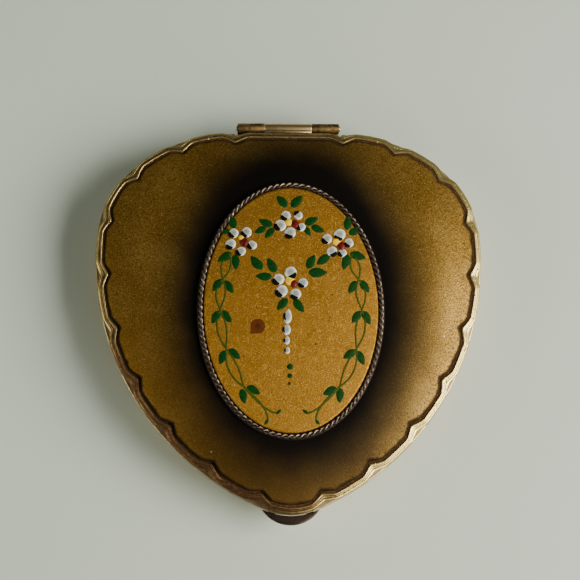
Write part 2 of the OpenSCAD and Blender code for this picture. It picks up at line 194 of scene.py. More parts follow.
def loop_surface(rings):
    """A closed ring of metal: every ring of points joins the next, and the last joins the first."""
    return rings.reshape(-1, 3), [grid_faces(len(rings), rings.shape[1], wrap_rows=True)]


def capped_surface(rings, first=None, last=None):
    """Rings joined in order, closed at each end by a fan on a middle point."""
    n = rings.shape[1]
    middles = [rings[0].mean(0) if first is None else first, rings[-1].mean(0) if last is None else last]
    points = np.concatenate([rings.reshape(-1, 3), middles])
    base, i = len(rings) * n, np.arange(n)
    j = (i + 1) % n
    low = np.stack([np.full(n, base), i, j], -1)
    high = np.stack([np.full(n, base + 1), (len(rings) - 1) * n + j, (len(rings) - 1) * n + i], -1)
    return points, [grid_faces(len(rings), n), low, high]


def build(name, pieces, finish, body, stands_for=(), marks=None):
    """Makes one smooth mesh from closed surfaces in millimetres, gives it its finish and its point
    attributes, and seats it on its body."""
    points, faces = merge(pieces)
    mesh = bpy.data.meshes.new(name)
    mesh.from_pydata(points * MM, [], [row for f in faces for row in f.tolist()])
    mesh.polygons.foreach_set("use_smooth", np.ones(len(mesh.polygons), bool))
    for mark, values in (marks or {}).items():
        layer = mesh.attributes.new(mark, "FLOAT", "POINT")
        layer.data.foreach_set("value", np.asarray(values, np.float32).ravel())
    mesh.update()
    piece = bpy.data.objects.new(name, mesh)
    bpy.context.scene.collection.objects.link(piece)
    mesh.materials.append(finish)
    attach(piece, body)
    if stands_for:
        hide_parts(*stands_for)
    return piece


class Wire:
    """A shader socket that takes part in arithmetic: each operation on it adds one Math node."""

    def __init__(self, finish, socket):
        self.finish, self.socket = finish, socket

    def math(self, operation, *others):
        """One Math node on this value and the others."""
        return self.finish.node("Math", {"operation": operation}, [self, *others])[0]

    def __add__(self, other):
        return self.math("ADD", other)

    def __sub__(self, other):
        return self.math("SUBTRACT", other)

    def __mul__(self, other):
        return self.math("MULTIPLY", other)

    def __truediv__(self, other):
        return self.math("DIVIDE", other)

    def __pow__(self, other):
        return self.math("POWER", other)

    def __rsub__(self, other):
        return self.finish.node("Math", {"operation": "SUBTRACT"}, [other, self])[0]

    __radd__, __rmul__ = __add__, __mul__

    def step(self, low, high, start=0.0, stop=1.0):
        """Runs smoothly from start to stop as the value goes from low to high."""
        settings = {"interpolation_type": "SMOOTHSTEP"}
        inputs = {"Value": self, "From Min": low, "From Max": high, "To Min": start, "To Max": stop}
        return self.finish.node("MapRange", settings, inputs)[0]

    def clamp(self):
        """Holds the value between 0 and 1."""
        return self.finish.node("Clamp", {}, [self])[0]


class Finish:
    """One material. node() adds any shader node: its type, then its settings, then what goes into its
    sockets, each a plain value or a Wire. Its answer is the list of the node's output wires."""

    def __init__(self, name, **constants):
        self.material = bpy.data.materials.new(name)
        self.material.use_nodes = True
        self.tree = self.material.node_tree
        self.surface = self.tree.nodes["Principled BSDF"]
        for socket, value in constants.items():
            self.surface.inputs[socket.replace("_", " ")].default_value = value
        self.place = self.node("TexCoord", {}, {})[3]

    def node(self, kind, settings, inputs):
        made = self.tree.nodes.new("ShaderNode" + kind)
        for key, value in settings.items():
            setattr(made, key, value)
        for key, value in inputs.items() if isinstance(inputs, dict) else enumerate(inputs):
            self.join(value, made.inputs[key])
        return [Wire(self, socket) for socket in made.outputs]

    def join(self, value, socket):
        """Links a Wire to a socket, or sets a plain value on it."""
        if isinstance(value, Wire):
            self.tree.links.new(value.socket, socket)
        else:
            socket.default_value = value

    def noise(self, size, detail=3.0, rough=0.55, at=None):
        """Cloudy noise from 0 to 1 whose lumps are about size millimetres across."""
        inputs = {"Vector": at or self.place, "Scale": 1 / (size * MM), "Detail": detail, "Roughness": rough}
        return self.node("TexNoise", {}, inputs)[0]

    def spots(self, size):
        """Distance to the nearest of scattered points about size millimetres apart, from 0 to about 1."""
        inputs = {"Vector": self.place, "Scale": 1 / (size * MM)}
        return self.node("TexVoronoi", {}, inputs)[0]

    def mark(self, name):
        """A number that the mesh carries at each of its points."""
        return self.node("Attribute", {"attribute_name": name}, {})[2]

    def axes(self):
        """The place on the object along X, Y and Z, in millimetres."""
        parts = self.node("SeparateXYZ", {}, [self.place])
        return [part * (1 / MM) for part in parts]

    def blend(self, share, first, second):
        """A colour that goes from first to second as share goes from 0 to 1."""
        first, second = [(*colour, 1) if isinstance(colour, tuple) else colour for colour in (first, second)]
        return self.node("Mix", {"data_type": "RGBA"}, {0: share, 6: first, 7: second})[2]

    def bump(self, height, depth):
        """Dents and ridges, depth millimetres from the height's 0 to its 1."""
        inputs = {"Height": height, "Distance": depth * MM, "Strength": 1.0}
        self.join(self.node("Bump", {}, inputs)[0], self.surface.inputs["Normal"])

    def set(self, **sockets):
        """Joins what changes over the surface, and gives the material."""
        for socket, value in sockets.items():
            self.join(value, self.surface.inputs[socket.replace("_", " ")])
        return self.material


# Old dirt and painted shade, for metal that sits under the lid's rim.
DIRT_AND_SHADE = (0.03, 0.02, 0.014)


def gilt_finish(name, clean, tarnish, age, roughness, brush=(1, 1, 1), dark_below_z=None):
    """Gilt brass: a clean colour that gives way to tarnish in clouds, more of it for a higher age, with
    pin pricks, fine rubbed scratches drawn out along brush, and a sheen that is duller where tarnished.
    Below a given height the metal is darkened with old dirt and painted shade, as under the lid's rim."""
    finish = Finish(name, Metallic=1.0)
    cloud = finish.noise(5.0, 4.0, 0.62)
    stain = finish.noise(0.9, 3.0, 0.6)
    drawn = finish.node("Mapping", {}, {"Vector": finish.place, "Scale": brush})[0]
    rubbed = finish.noise(0.16, 2.0, 0.5, at=drawn)
    pricks = finish.spots(0.55).step(0.05, 0.14, 1.0, 0.0) * finish.noise(3.0).step(0.52, 0.66)
    dull = (cloud * 0.65 + stain * 0.35).step(0.66 - 0.34 * age, 0.84 - 0.34 * age)
    shade = finish.blend(dull, clean, tarnish)
    shade = finish.blend(pricks * 0.8, shade, tuple(0.25 * c for c in tarnish))
    # Old dirt and painted shade below the given height.
    if dark_below_z is not None:
        shade = finish.blend(finish.axes()[2].step(dark_below_z - 0.25, dark_below_z, 0.9, 0.0), shade, DIRT_AND_SHADE)
    finish.bump(rubbed * 0.5 + stain * 0.35 - pricks * 1.5, 0.008)
    return finish.set(Base_Color=shade, Roughness=(dull * 0.2 + rubbed * 0.12 + (roughness - 0.06)).clamp())


pan_top = ends("base_pan")[1][2]
PAN_INSET, PAN_WALL, PAN_HEEL, PAN_FLOOR = 0.8, 0.5, 2.4, 0.6
# Past the heel the two faces of the floor run on level for a little.
RUN_UNDER, RUN_OVER = 0.6, 0.8
pan_path = rounded([
    (PAN_INSET + PAN_HEEL + RUN_UNDER, 0, 0), (PAN_INSET, 0, PAN_HEEL), (PAN_INSET, pan_top, 0.1),
    (PAN_INSET + PAN_WALL, pan_top, 0.1), (PAN_INSET + PAN_WALL, PAN_FLOOR, PAN_HEEL - PAN_WALL),
    (PAN_INSET + PAN_HEEL + RUN_OVER, PAN_FLOOR, 0),
], steps=8, closed=False)
# The heart's middle lies behind the halfway line.
MIDDLE_BACK = 4
MIDDLE = np.array([0, (BACK_Y + TIP_Y) / 2 + MIDDLE_BACK, 0])


def shrink(ring, shares):
    """Copies of a ring drawn in towards the middle of the case, to each share of its size."""
    centre = MIDDLE + [0, 0, ring[0, 2]]
    return np.stack([centre + share * (ring - centre) for share in shares])


pan_rings = carry(pan_path)
floor_shares = np.array([0.15, 0.4, 0.65, 0.85])
pan_rings = np.concatenate([
    shrink(pan_rings[0], floor_shares), pan_rings, shrink(pan_rings[-1], floor_shares[::-1])])
base_gilt = gilt_finish("base_gilt", (0.58, 0.38, 0.13), (0.36, 0.21, 0.07), 0.5, 0.34, (1, 1, 5))
build("base_shell", [capped_surface(pan_rings)], base_gilt, "base", ["base_pan"])

# ======================================================================================================
# Base rim. A turned ring of thicker brass, soldered on the pan: a flange with a rolled edge that the lid
# closes on, and an upright collar that the lid's skirt slips over. Its edge is worn bright.
# ======================================================================================================


def joint(name):
    """The frame's record of one joint."""
    return next(j for j in frame["joints"] if j["name"] == name)


collar_low, collar_high = ends("base_rim")
hinge_at = np.array(joint("lid_hinge")["pos_m"]) / MM
hinge_low, hinge_high = ends("base_hinge_leaf")
FLANGE_PROUD, FLANGE_ROLL, SEAM_GAP = 0.1, 0.32, 0.15
COLLAR_INSET, SHEET, DECK_STEP, DECK_T = 1.5, 0.5, 0.9, 0.4
seam_z = rim_low[2] - SEAM_GAP
deck_under = ends("well_pan")[1][2] - DECK_T
rim_path = rounded([
    (COLLAR_INSET, pan_top, 0), (-FLANGE_PROUD, pan_top, FLANGE_ROLL), (-FLANGE_PROUD, seam_z, FLANGE_ROLL),
    (COLLAR_INSET, seam_z, 0.15), (COLLAR_INSET, collar_high[2], 0.2),
    (COLLAR_INSET + SHEET, collar_high[2], 0.2), (COLLAR_INSET + SHEET, deck_under, 0.05),
    (COLLAR_INSET + SHEET + DECK_STEP, deck_under, 0.05),
    (COLLAR_INSET + SHEET + DECK_STEP, collar_low[2], 0.05), (COLLAR_INSET, collar_low[2], 0.05),
])
# Behind the hinge the flange is cut back to clear the knuckles.
CUT_SPARE, CUT_INSET, NO_CUT = 0.3, 0.55, -1.0
hinge_cut = np.where(np.abs(stations) < hinge_high[0] + CUT_SPARE, CUT_INSET, NO_CUT)
# The dirt and painted shade under the lid's rim start this far below the seam.
SEAM_DIRT_AND_SHADE = 0.02
rim_gilt = gilt_finish("rim_gilt", (0.66, 0.49, 0.24), (0.33, 0.20, 0.085), 0.5, 0.36,
    dark_below_z=seam_z - SEAM_DIRT_AND_SHADE)
build("seam_ring", [loop_surface(carry(rim_path, least_inset=hinge_cut))], rim_gilt, "base",
    ["base_rim"])

# ======================================================================================================
# Well pan. The deck that closes the base, pressed down into a well of the same outline for the powder or
# small things. The edge of the well is beaded. Inside the case the gilding has kept its colour.
# ======================================================================================================

well_low, well_high = ends("well_pan")
sifter_low, sifter_high = ends("sifter_frame")
SIFTER_GAP = 0.2
WELL_IN = BACK_Y - sifter_high[1] - SIFTER_GAP
DECK_INSET = COLLAR_INSET + SHEET + 0.15
well_floor = sifter_low[2]
WELL_RUN, BEAD, LINE_DEEP = 2.5, 0.35, 0.12
well_path = rounded([
    (WELL_IN + WELL_RUN, well_floor, 0), (WELL_IN, well_floor, 0.9), (WELL_IN, well_high[2], 0.35),
    (WELL_IN - 0.35, well_high[2], 0.1), (WELL_IN - 0.55, well_high[2] + BEAD, 0.2),
    (WELL_IN - 1.15, well_high[2] + BEAD, 0.2), (WELL_IN - 1.35, well_high[2], 0.1),
    (WELL_IN - 4.6, well_high[2], 0.2), (WELL_IN - 4.75, well_high[2] - LINE_DEEP, 0.1),
    (WELL_IN - 5.05, well_high[2] - LINE_DEEP, 0.1), (WELL_IN - 5.2, well_high[2], 0.2),
    (DECK_INSET, well_high[2], 0.1), (DECK_INSET, deck_under, 0), (WELL_IN - SHEET, deck_under, 0.3),
    (WELL_IN - SHEET, well_low[2], 0.5), (WELL_IN + WELL_RUN, well_low[2], 0),
], closed=False)
# The deck is cut away at the tip, where the lid's keeper comes down.
KEEPER_HALF, KEEPER_SPARE = 3.1, 0.7
keeper_inset = ends("lid_keeper")[1][1] - TIP_Y + KEEPER_SPARE
keeper_cut = np.where(np.abs(stations) > HALF_LENGTH - KEEPER_HALF, keeper_inset, NO_CUT)
well_rings = carry(well_path, least_inset=keeper_cut)
well_rings = np.concatenate([
    shrink(well_rings[0], floor_shares), well_rings, shrink(well_rings[-1], floor_shares[::-1])])
inner_gilt = gilt_finish("inner_gilt", (0.83, 0.62, 0.27), (0.45, 0.28, 0.10), 0.25, 0.26, (0.2, 4, 1))
build("well_and_deck", [capped_surface(well_rings)], inner_gilt, "base", ["well_pan"])

# ======================================================================================================
# Sifter. A rolled frame that drops into the well, with a fine net stretched over it; powder is drawn
# through the net a little at a time. The net is cotton, faintly tinted by the powder below it.
# ======================================================================================================

SIFTER_IN = WELL_IN + SIFTER_GAP
SIFTER_W, SIFTER_LIP = 2.2, 0.1
BAND_TOP, BAND_UNDER = sifter_high[2] - 0.35, sifter_high[2] - 0.6
sifter_path = rounded([
    (SIFTER_IN, sifter_low[2], 0.1), (SIFTER_IN, sifter_high[2], 0.25),
    (SIFTER_IN + SHEET + SIFTER_LIP, sifter_high[2], 0.25), (SIFTER_IN + SHEET + SIFTER_LIP, BAND_TOP, 0.1),
    (SIFTER_IN + SIFTER_W, BAND_TOP, 0.1), (SIFTER_IN + SIFTER_W, BAND_UNDER, 0.1),
    (SIFTER_IN + SHEET, BAND_UNDER, 0.1), (SIFTER_IN + SHEET, sifter_low[2], 0.1),
])
build("sifter_hoop", [loop_surface(carry(sifter_path))], inner_gilt, "base", ["sifter_frame"])

NET_T, NET_SAG, NET_PITCH = 0.1, 0.12, 0.45
# The net lies just under the frame's top and starts just inside its lip.
NET_UNDER, NET_IN = 0.02, 0.12
net_edge = carry(np.array([[SIFTER_IN + SHEET + NET_IN, sifter_high[2] - NET_UNDER]]))[0]
net_shares = np.array([0.04, 0.2, 0.4, 0.6, 0.8, 0.94, 1.0])
net_up = shrink(net_edge, net_shares)
net_up[..., 2] -= NET_SAG * (1 - net_shares[:, None] ** 2)
net_down = net_up[::-1] - [0, 0, NET_T]


def net_finish():
    """Woven net: two sets of threads at right angles, a pitch apart, each the height of a sine wave
    taken without its sign; the holes between them are dark, with a dusting of powder over all."""
    finish = Finish("sifter_cloth", Roughness=0.85, Sheen_Weight=0.3)
    x, y, _ = finish.axes()
    across = (x * (np.pi / NET_PITCH)).math("SINE").math("ABSOLUTE")
    along = (y * (np.pi / NET_PITCH)).math("SINE").math("ABSOLUTE")
    thread = across.math("MAXIMUM", along)
    dusted = finish.noise(6.0).step(0.35, 0.7)
    weave = finish.blend(thread.step(0.55, 0.85), (0.30, 0.22, 0.17), (0.80, 0.72, 0.62))
    finish.bump(thread, 0.05)
    return finish.set(Base_Color=finish.blend(dusted * 0.5, weave, (0.84, 0.66, 0.54)))


net = build("sifter_mesh", [capped_surface(np.concatenate([net_up, net_down]))], net_finish(), "base",
    ["sifter_net"])

# ======================================================================================================
# Puff. A round pad of cotton wadding in short-piled velour, flat below and crowned above, with a satin
# ribbon sewn across it as a finger strap. The ribbon's stitched ends pull dimples into the pad.
# ======================================================================================================

puff_low, puff_high = ends("puff_pad")
ribbon_low, ribbon_high = ends("puff_ribbon")
PUFF_R = (puff_high[0] - puff_low[0]) / 2
PUFF_T = puff_high[2] - puff_low[2]
puff_mid = (puff_low + puff_high) / 2
DIMPLE, DIMPLE_LONG, DIMPLE_WIDE, SETTLE = 0.5, 1.8, 3.4, 0.35
FLAT_PAD, SEAM_POWER = 0.45, 4
# The cloth is worked out at ten times its size, where the solver's steps suit it.
CLOTH_SCALE, PRESSURE, CLOTH_FRAMES = 10 * MM, 0.7, 20
turn = np.linspace(0, 2 * np.pi, 160, endpoint=False)
puff_share = np.linspace(0.03, 1, 26)[:, None]


def puff_half(side):
    """One face of the puff before it is filled: rings of a disc, a little thicker in the middle, its
    height falling with a power of the radius to the seam."""
    height = side * FLAT_PAD * np.sqrt(1 - puff_share**SEAM_POWER)
    return np.stack([PUFF_R * puff_share * np.cos(turn), PUFF_R * puff_share * np.sin(turn),
        height * np.ones_like(turn)], -1)


def filled(rings):
    """The two faces sewn at the rim and blown up from inside by cloth simulation; gives the points."""
    points, faces = merge([capped_surface(rings)])
    mesh = bpy.data.meshes.new("puff_cloth")
    mesh.from_pydata(points * CLOTH_SCALE, [], [row for f in faces for row in f.tolist()])
    bag = bpy.data.objects.new("puff_cloth", mesh)
    bpy.context.scene.collection.objects.link(bag)
    cloth = bag.modifiers.new("cloth", "CLOTH")
    cloth.settings.effector_weights.gravity = 0
    cloth.settings.use_pressure = True
    cloth.settings.uniform_pressure_force = PRESSURE
    cloth.settings.bending_stiffness = 0.05
    cloth.collision_settings.use_collision = False
    cloth.point_cache.frame_end = CLOTH_FRAMES
    for moment in range(1, CLOTH_FRAMES + 1):
        bpy.context.scene.frame_set(moment)
    swollen = bag.evaluated_get(bpy.context.evaluated_depsgraph_get()).data
    result = np.empty(3 * len(swollen.vertices))
    swollen.vertices.foreach_get("co", result)
    bpy.context.scene.frame_set(1)
    bpy.data.objects.remove(bag)
    bpy.data.meshes.remove(mesh)
    return result.reshape(-1, 3) / CLOTH_SCALE


puff_points = filled(np.concatenate([puff_half(1), puff_half(-1)[-2::-1]]))
puff_points[:, :2] *= min(1, PUFF_R / np.abs(puff_points[:, :2]).max())
past_end = (np.abs(puff_points[:, 0]) - ribbon_high[0]) / DIMPLE_LONG
near_end = np.exp(-(past_end**2) - (puff_points[:, 1] / DIMPLE_WIDE) ** 2)
puff_points[:, 2] *= (PUFF_T + SETTLE) / 2 / np.abs(puff_points[:, 2]).max()
puff_points[:, 2] += PUFF_T / 2 - puff_points[:, 2].max()
puff_points[:, 2] -= DIMPLE * near_end * (puff_points[:, 2] > 0)
# It settles a little on the net, and is flat where it rests.
puff_points[:, 2] = np.maximum(puff_points[:, 2], -PUFF_T / 2)
puff_ring_count = 2 * len(puff_share) - 1
puff_surface = (puff_points + puff_mid, capped_surface(np.zeros((puff_ring_count, len(turn), 3)))[1])
top_rings = puff_points[: len(puff_share) * len(turn)].reshape(len(puff_share), len(turn), 3)


def puff_height(x, y):
    """Height of the filled puff over its middle plane at a point: the highest that its upper rings are
    at that distance from the centre."""
    reach = np.hypot(top_rings[..., 0], top_rings[..., 1]).mean(1)
    return np.interp(np.hypot(x, y), reach, top_rings[..., 2].max(1))


def velour_finish():
    """Short pile that has been brushed about: broad patches lie lighter or darker, and tufts stand at
    about a third of a millimetre."""
    finish = Finish("puff_velour", Roughness=0.95, Sheen_Weight=0.8, Sheen_Roughness=0.4)
    brushed = finish.noise(7.0, 2.0, 0.5).step(0.3, 0.7)
    tuft = finish.noise(0.33, 3.0, 0.7)
    shade = finish.blend(brushed, (0.66, 0.43, 0.33), (0.82, 0.60, 0.48))
    shade = finish.blend(tuft.step(0.3, 0.6, 0.45, 0.0), shade, (0.42, 0.24, 0.18))
    finish.bump(tuft + brushed * 0.3, 0.12)
    return finish.set(Base_Color=shade)


puff = build("puff", [puff_surface], velour_finish(), "base", ["puff_pad"])

# The ribbon is flat satin, a little shorter than the pad is wide, and lies over the crown.
RIBBON_T, RIBBON_LIFT, RIPPLE = 0.16, 0.12, 0.05
END_TRIM, SIDE_TRIM = 0.1, 0.02
rib_x = np.linspace(ribbon_low[0] + END_TRIM, ribbon_high[0] - END_TRIM, 120)
rib_y = np.linspace(ribbon_low[1] + SIDE_TRIM, ribbon_high[1] - SIDE_TRIM, 25)
gx, gy = np.meshgrid(rib_x, rib_y, indexing="ij")
end_share = np.abs(gx) / ribbon_high[0]
wave = RIPPLE * np.sin(gx * 1.1) * np.cos((gy - puff_mid[1]) * 0.9) * (1 - end_share**6)
rib_top = puff_mid[2] + puff_height(gx, gy - puff_mid[1]) + RIBBON_LIFT + RIBBON_T + wave
rib_top = np.minimum(rib_top + RIBBON_LIFT * (1 - end_share**4), ribbon_high[2])
ribbon_grid = np.stack([gx, gy, rib_top], -1)


def plate_surface(top, thickness):
    """A thin closed plate: a grid of points, its copy a thickness lower, and a strip round the edge."""
    rows, columns = top.shape[:2]
    n = rows * columns
    upper = grid_faces(rows, columns, wrap_columns=False)
    grid = np.arange(n).reshape(rows, columns)
    edge = np.concatenate([grid[0, :-1], grid[:-1, -1], grid[-1, :0:-1], grid[:0:-1, 0]])
    after = np.roll(edge, -1)
    side = np.stack([edge, after, after + n, edge + n], -1)
    points = np.concatenate([top.reshape(-1, 3), top.reshape(-1, 3) - [0, 0, thickness]])
    return points, [upper, upper[:, ::-1] + n, side[:, ::-1]]


def satin_finish():
    """Satin ribbon: fine warp floats along its length, a darker woven selvedge at each side, and rows of
    stitches across its two ends."""
    warp_pitch, weft_pitch, stitch_pitch, stitches_in = 0.22, 0.5, 1.1, 1.1
    half_wide = ribbon_high[1] - puff_mid[1]
    finish = Finish("ribbon_satin", Sheen_Weight=0.3)
    x, y, _ = finish.axes()
    across = y - puff_mid[1]
    warp = (across * (2 * np.pi / warp_pitch)).math("SINE") * 0.5 + 0.5
    weft = (x * (2 * np.pi / weft_pitch)).math("SINE") * 0.5 + 0.5
    selvedge = across.math("ABSOLUTE").step(half_wide - 0.7, half_wide - 0.5)
    from_row = (x.math("ABSOLUTE") - (ribbon_high[0] - stitches_in)).math("ABSOLUTE")
    stitch_row = from_row.step(0.1, 0.2, 1.0, 0.0)
    stitches = stitch_row * (across * (2 * np.pi / stitch_pitch)).math("SINE").step(-0.1, 0.2)
    shade = finish.blend(warp * 0.35 + weft * 0.1, (0.55, 0.25, 0.24), (0.70, 0.38, 0.35))
    shade = finish.blend(selvedge * 0.5, shade, (0.36, 0.14, 0.14))
    shade = finish.blend(stitches, shade, (0.86, 0.74, 0.66))
    finish.bump(warp * 0.3 + weft * 0.25 + stitches * 1.5, 0.03)
    return finish.set(Base_Color=shade, Roughness=selvedge * 0.3 + 0.36)


ribbon = build("finger_ribbon", [plate_surface(ribbon_grid, RIBBON_T)], satin_finish(), "base",
    ["puff_ribbon"])

# ======================================================================================================
# Hinge. Three knuckles rolled from the edge of a flat leaf, the outer two soldered to the base and the
# middle one to the lid, on a steel pin with peened ends. The base's knuckles have darkened the most.
# ======================================================================================================

PIN_R, BORE_R, KNUCKLE_R = 0.40, 0.45, 1.05
LAP_STEP, LAP_SPREAD = 0.07, 0.09
pin_yz = hinge_at[1:]
lid_leaf_low, lid_leaf_high = ends("lid_hinge_leaf")


def bar(path, x0, x1, round_off=0.08):
    """A bar of constant cross-section along X: a closed path in (Y, Z), with its ends eased by
    drawing the path in a little towards its middle."""
    middle = path.mean(0)
    size = np.abs(path - middle).max()
    ease = np.array([[1 - 1.6 * round_off / size, 0], [1 - 0.5 * round_off / size, round_off * 0.3],
        [1, round_off]])
    rows = np.concatenate([ease, [[1, x1 - x0 - round_off]], ease[-2::-1] * [1, -1] + [0, x1 - x0]])
    shape = middle + rows[:, None, :1] * (path - middle)
    x = np.broadcast_to(x0 + rows[:, 1:2], shape.shape[:2])
    return np.concatenate([x[..., None], shape], -1)


def rolled_knuckle(x0, x1, seam):
    """A knuckle rolled from sheet: a tube whose outside has a step where the sheet's edge comes round
    to meet the leaf, at the angle seam. Its bore stays round."""
    a = np.linspace(0, 2 * np.pi, 73)[:-1]
    lap = LAP_STEP * np.exp(-((np.mod(a - seam + np.pi, 2 * np.pi) - np.pi) / LAP_SPREAD) ** 2)
    outer = np.stack([np.cos(a), np.sin(a)], -1) * (KNUCKLE_R - 0.01 - lap)[:, None]
    inner = np.stack([np.cos(a), np.sin(a)], -1) * BORE_R
    x = np.array([x0 + 0.1, x0 + 0.02, x0, x0, x1, x1, x1 - 0.02, x1 - 0.1])
    size = np.array([1, 0.985, 0.94, np.nan, np.nan, 0.94, 0.985, 1])
    rings = []
    for at, share in zip(x, size):
        ring = inner if np.isnan(share) else outer * share
        rings.append(np.concatenate([np.full((len(a), 1), at), ring + pin_yz], -1))
    return np.stack(rings)


def leaf_plate(x0, x1, corners):
    """A flat strip of the leaf: a rounded closed path in (Y, Z) drawn along X."""
    return capped_surface(bar(rounded([(*c, 0.06) for c in corners], steps=3), x0, x1, 0.05))


KNUCKLE_GAP = 0.1
knuckle_x0 = lid_leaf_high[0] + KNUCKLE_GAP
leaf_front = BACK_Y - PAN_INSET
LEAF_T = 0.4
leaf_top = pin_yz[1] - KNUCKLE_R + LEAF_T + 0.1
base_pieces = []
for side in (-1, 1):
    x0, x1 = sorted((side * knuckle_x0, side * hinge_high[0]))
    base_pieces.append(loop_surface(rolled_knuckle(x0, x1, np.radians(200))))
    base_pieces.append(leaf_plate(x0 + 0.03, x1 - 0.03, [
        (leaf_front + 0.02, hinge_low[2] + 0.02), (leaf_front + LEAF_T, hinge_low[2] + 0.02),
        (leaf_front + LEAF_T, leaf_top - LEAF_T), (pin_yz[0] - 0.05, leaf_top - LEAF_T),
        (pin_yz[0] - 0.05, leaf_top - 0.03), (leaf_front + 0.32, leaf_top - 0.03),
        (leaf_front + 0.32, pan_top - 0.05), (leaf_front + 0.02, pan_top - 0.05)]))
hinge_gilt = gilt_finish("hinge_gilt", (0.40, 0.27, 0.10), (0.09, 0.050, 0.022), 0.75, 0.42, (5, 1, 1))
build("outer_knuckles", base_pieces, hinge_gilt, "base", ["base_hinge_leaf"])

lid_pieces = [
    loop_surface(rolled_knuckle(lid_leaf_low[0], lid_leaf_high[0], np.radians(150))),
    leaf_plate(lid_leaf_low[0] + 0.03, lid_leaf_high[0] - 0.03, [
        (BACK_Y + 0.01, pin_yz[1] + 0.15), (BACK_Y + LEAF_T - 0.02, pin_yz[1] + 0.15),
        (BACK_Y + LEAF_T - 0.02, lid_leaf_high[2] - 0.02), (BACK_Y + 0.01, lid_leaf_high[2] - 0.02)]),
]
build("middle_knuckle", lid_pieces, rim_gilt, "lid", ["lid_hinge_leaf"])


def turned(profile, centre, axis, count=48):
    """A solid of revolution: (distance from the axis, place along it) carried round the axis."""
    a = np.linspace(0, 2 * np.pi, count, endpoint=False)
    radius, along = profile[:, :1], np.broadcast_to(profile[:, 1:], (len(profile), count))
    parts = [radius * np.cos(a), radius * np.sin(a), along]
    return capped_surface(np.stack(np.roll(parts, axis + 1, 0), -1) + centre)


def steel_finish(name, colour, roughness, drawn):
    """Steel wire or strip: fine lines drawn along it, with freckles of rust-brown where it has aged."""
    finish = Finish(name, Metallic=1.0)
    stretched = finish.node("Mapping", {}, {"Vector": finish.place, "Scale": drawn})[0]
    lines = finish.noise(0.08, 2.0, 0.5, at=stretched)
    rust = finish.noise(0.5, 4.0, 0.65).step(0.58, 0.75)
    shade = finish.blend(lines * 0.4, colour, tuple(0.6 * c for c in colour))
    finish.bump(lines, 0.004)
    shade = finish.blend(rust * 0.7, shade, (0.16, 0.075, 0.035))
    return finish.set(Base_Color=shade, Roughness=rust * 0.35 + lines * 0.1 + roughness)


PEEN = 0.3
# Each row: distance from the pin's axis, and place along the peened head as a share of its depth.
pin_profile = np.array([[0.2, -1.0], [0.42, -0.92], [0.53, -0.75], [0.55, -0.5], [0.55, 0.0], [PIN_R, 0.02]])
pin_end = pin_profile * [1, PEEN] + [0, ends("hinge_pin")[0][0] + PEEN]
pin_all = np.concatenate([pin_end, (pin_end * [1, -1])[::-1]])
steel = steel_finish("steel", (0.56, 0.54, 0.50), 0.28, (0.1, 1, 1))
build("peened_pin", [turned(pin_all, np.array([0, *pin_yz]), 0)], steel, "base", ["hinge_pin"])

# ======================================================================================================
# Catch. A crescent thumb piece on a forked slide that runs in a staple under the deck, with a bowed leaf
# spring behind it. Two rivets hold the staple. The crescent is coloured near black: dark metal with
# painted shade for its place under the lid's rim.
# ======================================================================================================

thumb_low, thumb_high = ends("thumb_piece")
THUMB_R, THUMB_GAP, THUMB_END = 6.7, 0.12, 0.12
# The crescent's inner edge runs along the case, just clear of it, and meets the front at both ends.
case_x, case_y = outline(np.linspace(HALF_LENGTH - 9, HALF_LENGTH, 400), -THUMB_GAP)


def crescent_edges(x):
    """The crescent's front, an arc about a point behind its nose, and its back, along the case."""
    front = thumb_low[1] + THUMB_R - np.sqrt(np.clip(THUMB_R**2 - x**2, 0, None))
    return front, np.interp(np.abs(x), case_x[::-1], case_y[::-1])


reach = np.linspace(0, THUMB_R, 800)
front_y, inner_y = crescent_edges(reach)
thumb_half = reach[np.argmax(inner_y - front_y < THUMB_END)]
thumb_x = thumb_half * np.sin(np.linspace(-1, 1, 121) * np.pi / 2)
front_y, inner_y = crescent_edges(thumb_x)
mid_z, half_h = (thumb_low[2] + thumb_high[2]) / 2, (thumb_high[2] - thumb_low[2]) / 2
around = np.linspace(0, 2 * np.pi, 40, endpoint=False)
# Its cross-section is a rounded bar: square and flat at the case, bowed at the front.
at_case = np.cos(around) > 0
SQUARE, BOWED_BACK, BOWED_UP = 0.1, 0.6, 0.5
bow = np.sign(np.cos(around)) * np.abs(np.cos(around)) ** np.where(at_case, SQUARE, BOWED_BACK)
rise = np.sign(np.sin(around)) * np.abs(np.sin(around)) ** np.where(at_case, SQUARE, BOWED_UP)
depth = (inner_y - front_y)[:, None]
cross_y = ((inner_y + front_y) / 2)[:, None] + depth / 2 * bow
cross_z = np.broadcast_to(mid_z + half_h * rise * (0.95 + 0.05 * bow), cross_y.shape)
thumb_rings = np.stack([np.broadcast_to(thumb_x[:, None], cross_y.shape), cross_y, cross_z], -1)
# Near black: dark metal with painted shade, under the lid's rim.
thumb_gilt = gilt_finish("thumb_gilt", (0.11, 0.075, 0.052), (0.022, 0.015, 0.012), 0.6, 0.34, (1, 3, 1))
build("thumb_crescent", [capped_surface(thumb_rings)], thumb_gilt, "catch", ["thumb_piece"])

rivet_low, rivet_high = ends("guide_rivets")
RIVET_R, RIVET_RISE = (rivet_high[1] - rivet_low[1]) / 2, 0.3
rivet_y = (rivet_low[1] + rivet_high[1]) / 2
dome = np.linspace(0.1, 1, 8) * np.pi / 2
dome_profile = np.stack([np.sin(dome) * RIVET_R, np.cos(dome) * RIVET_RISE], -1)
dome_profile = np.concatenate([dome_profile, [[RIVET_R, -0.02]]])
rivet_heads = [
    turned(dome_profile, np.array([x, rivet_y, rivet_low[2]]), 2, 32)
    for x in (rivet_low[0] + RIVET_R, rivet_high[0] - RIVET_R)
]
build("rivet_heads", rivet_heads, steel, "base", ["guide_rivets"])
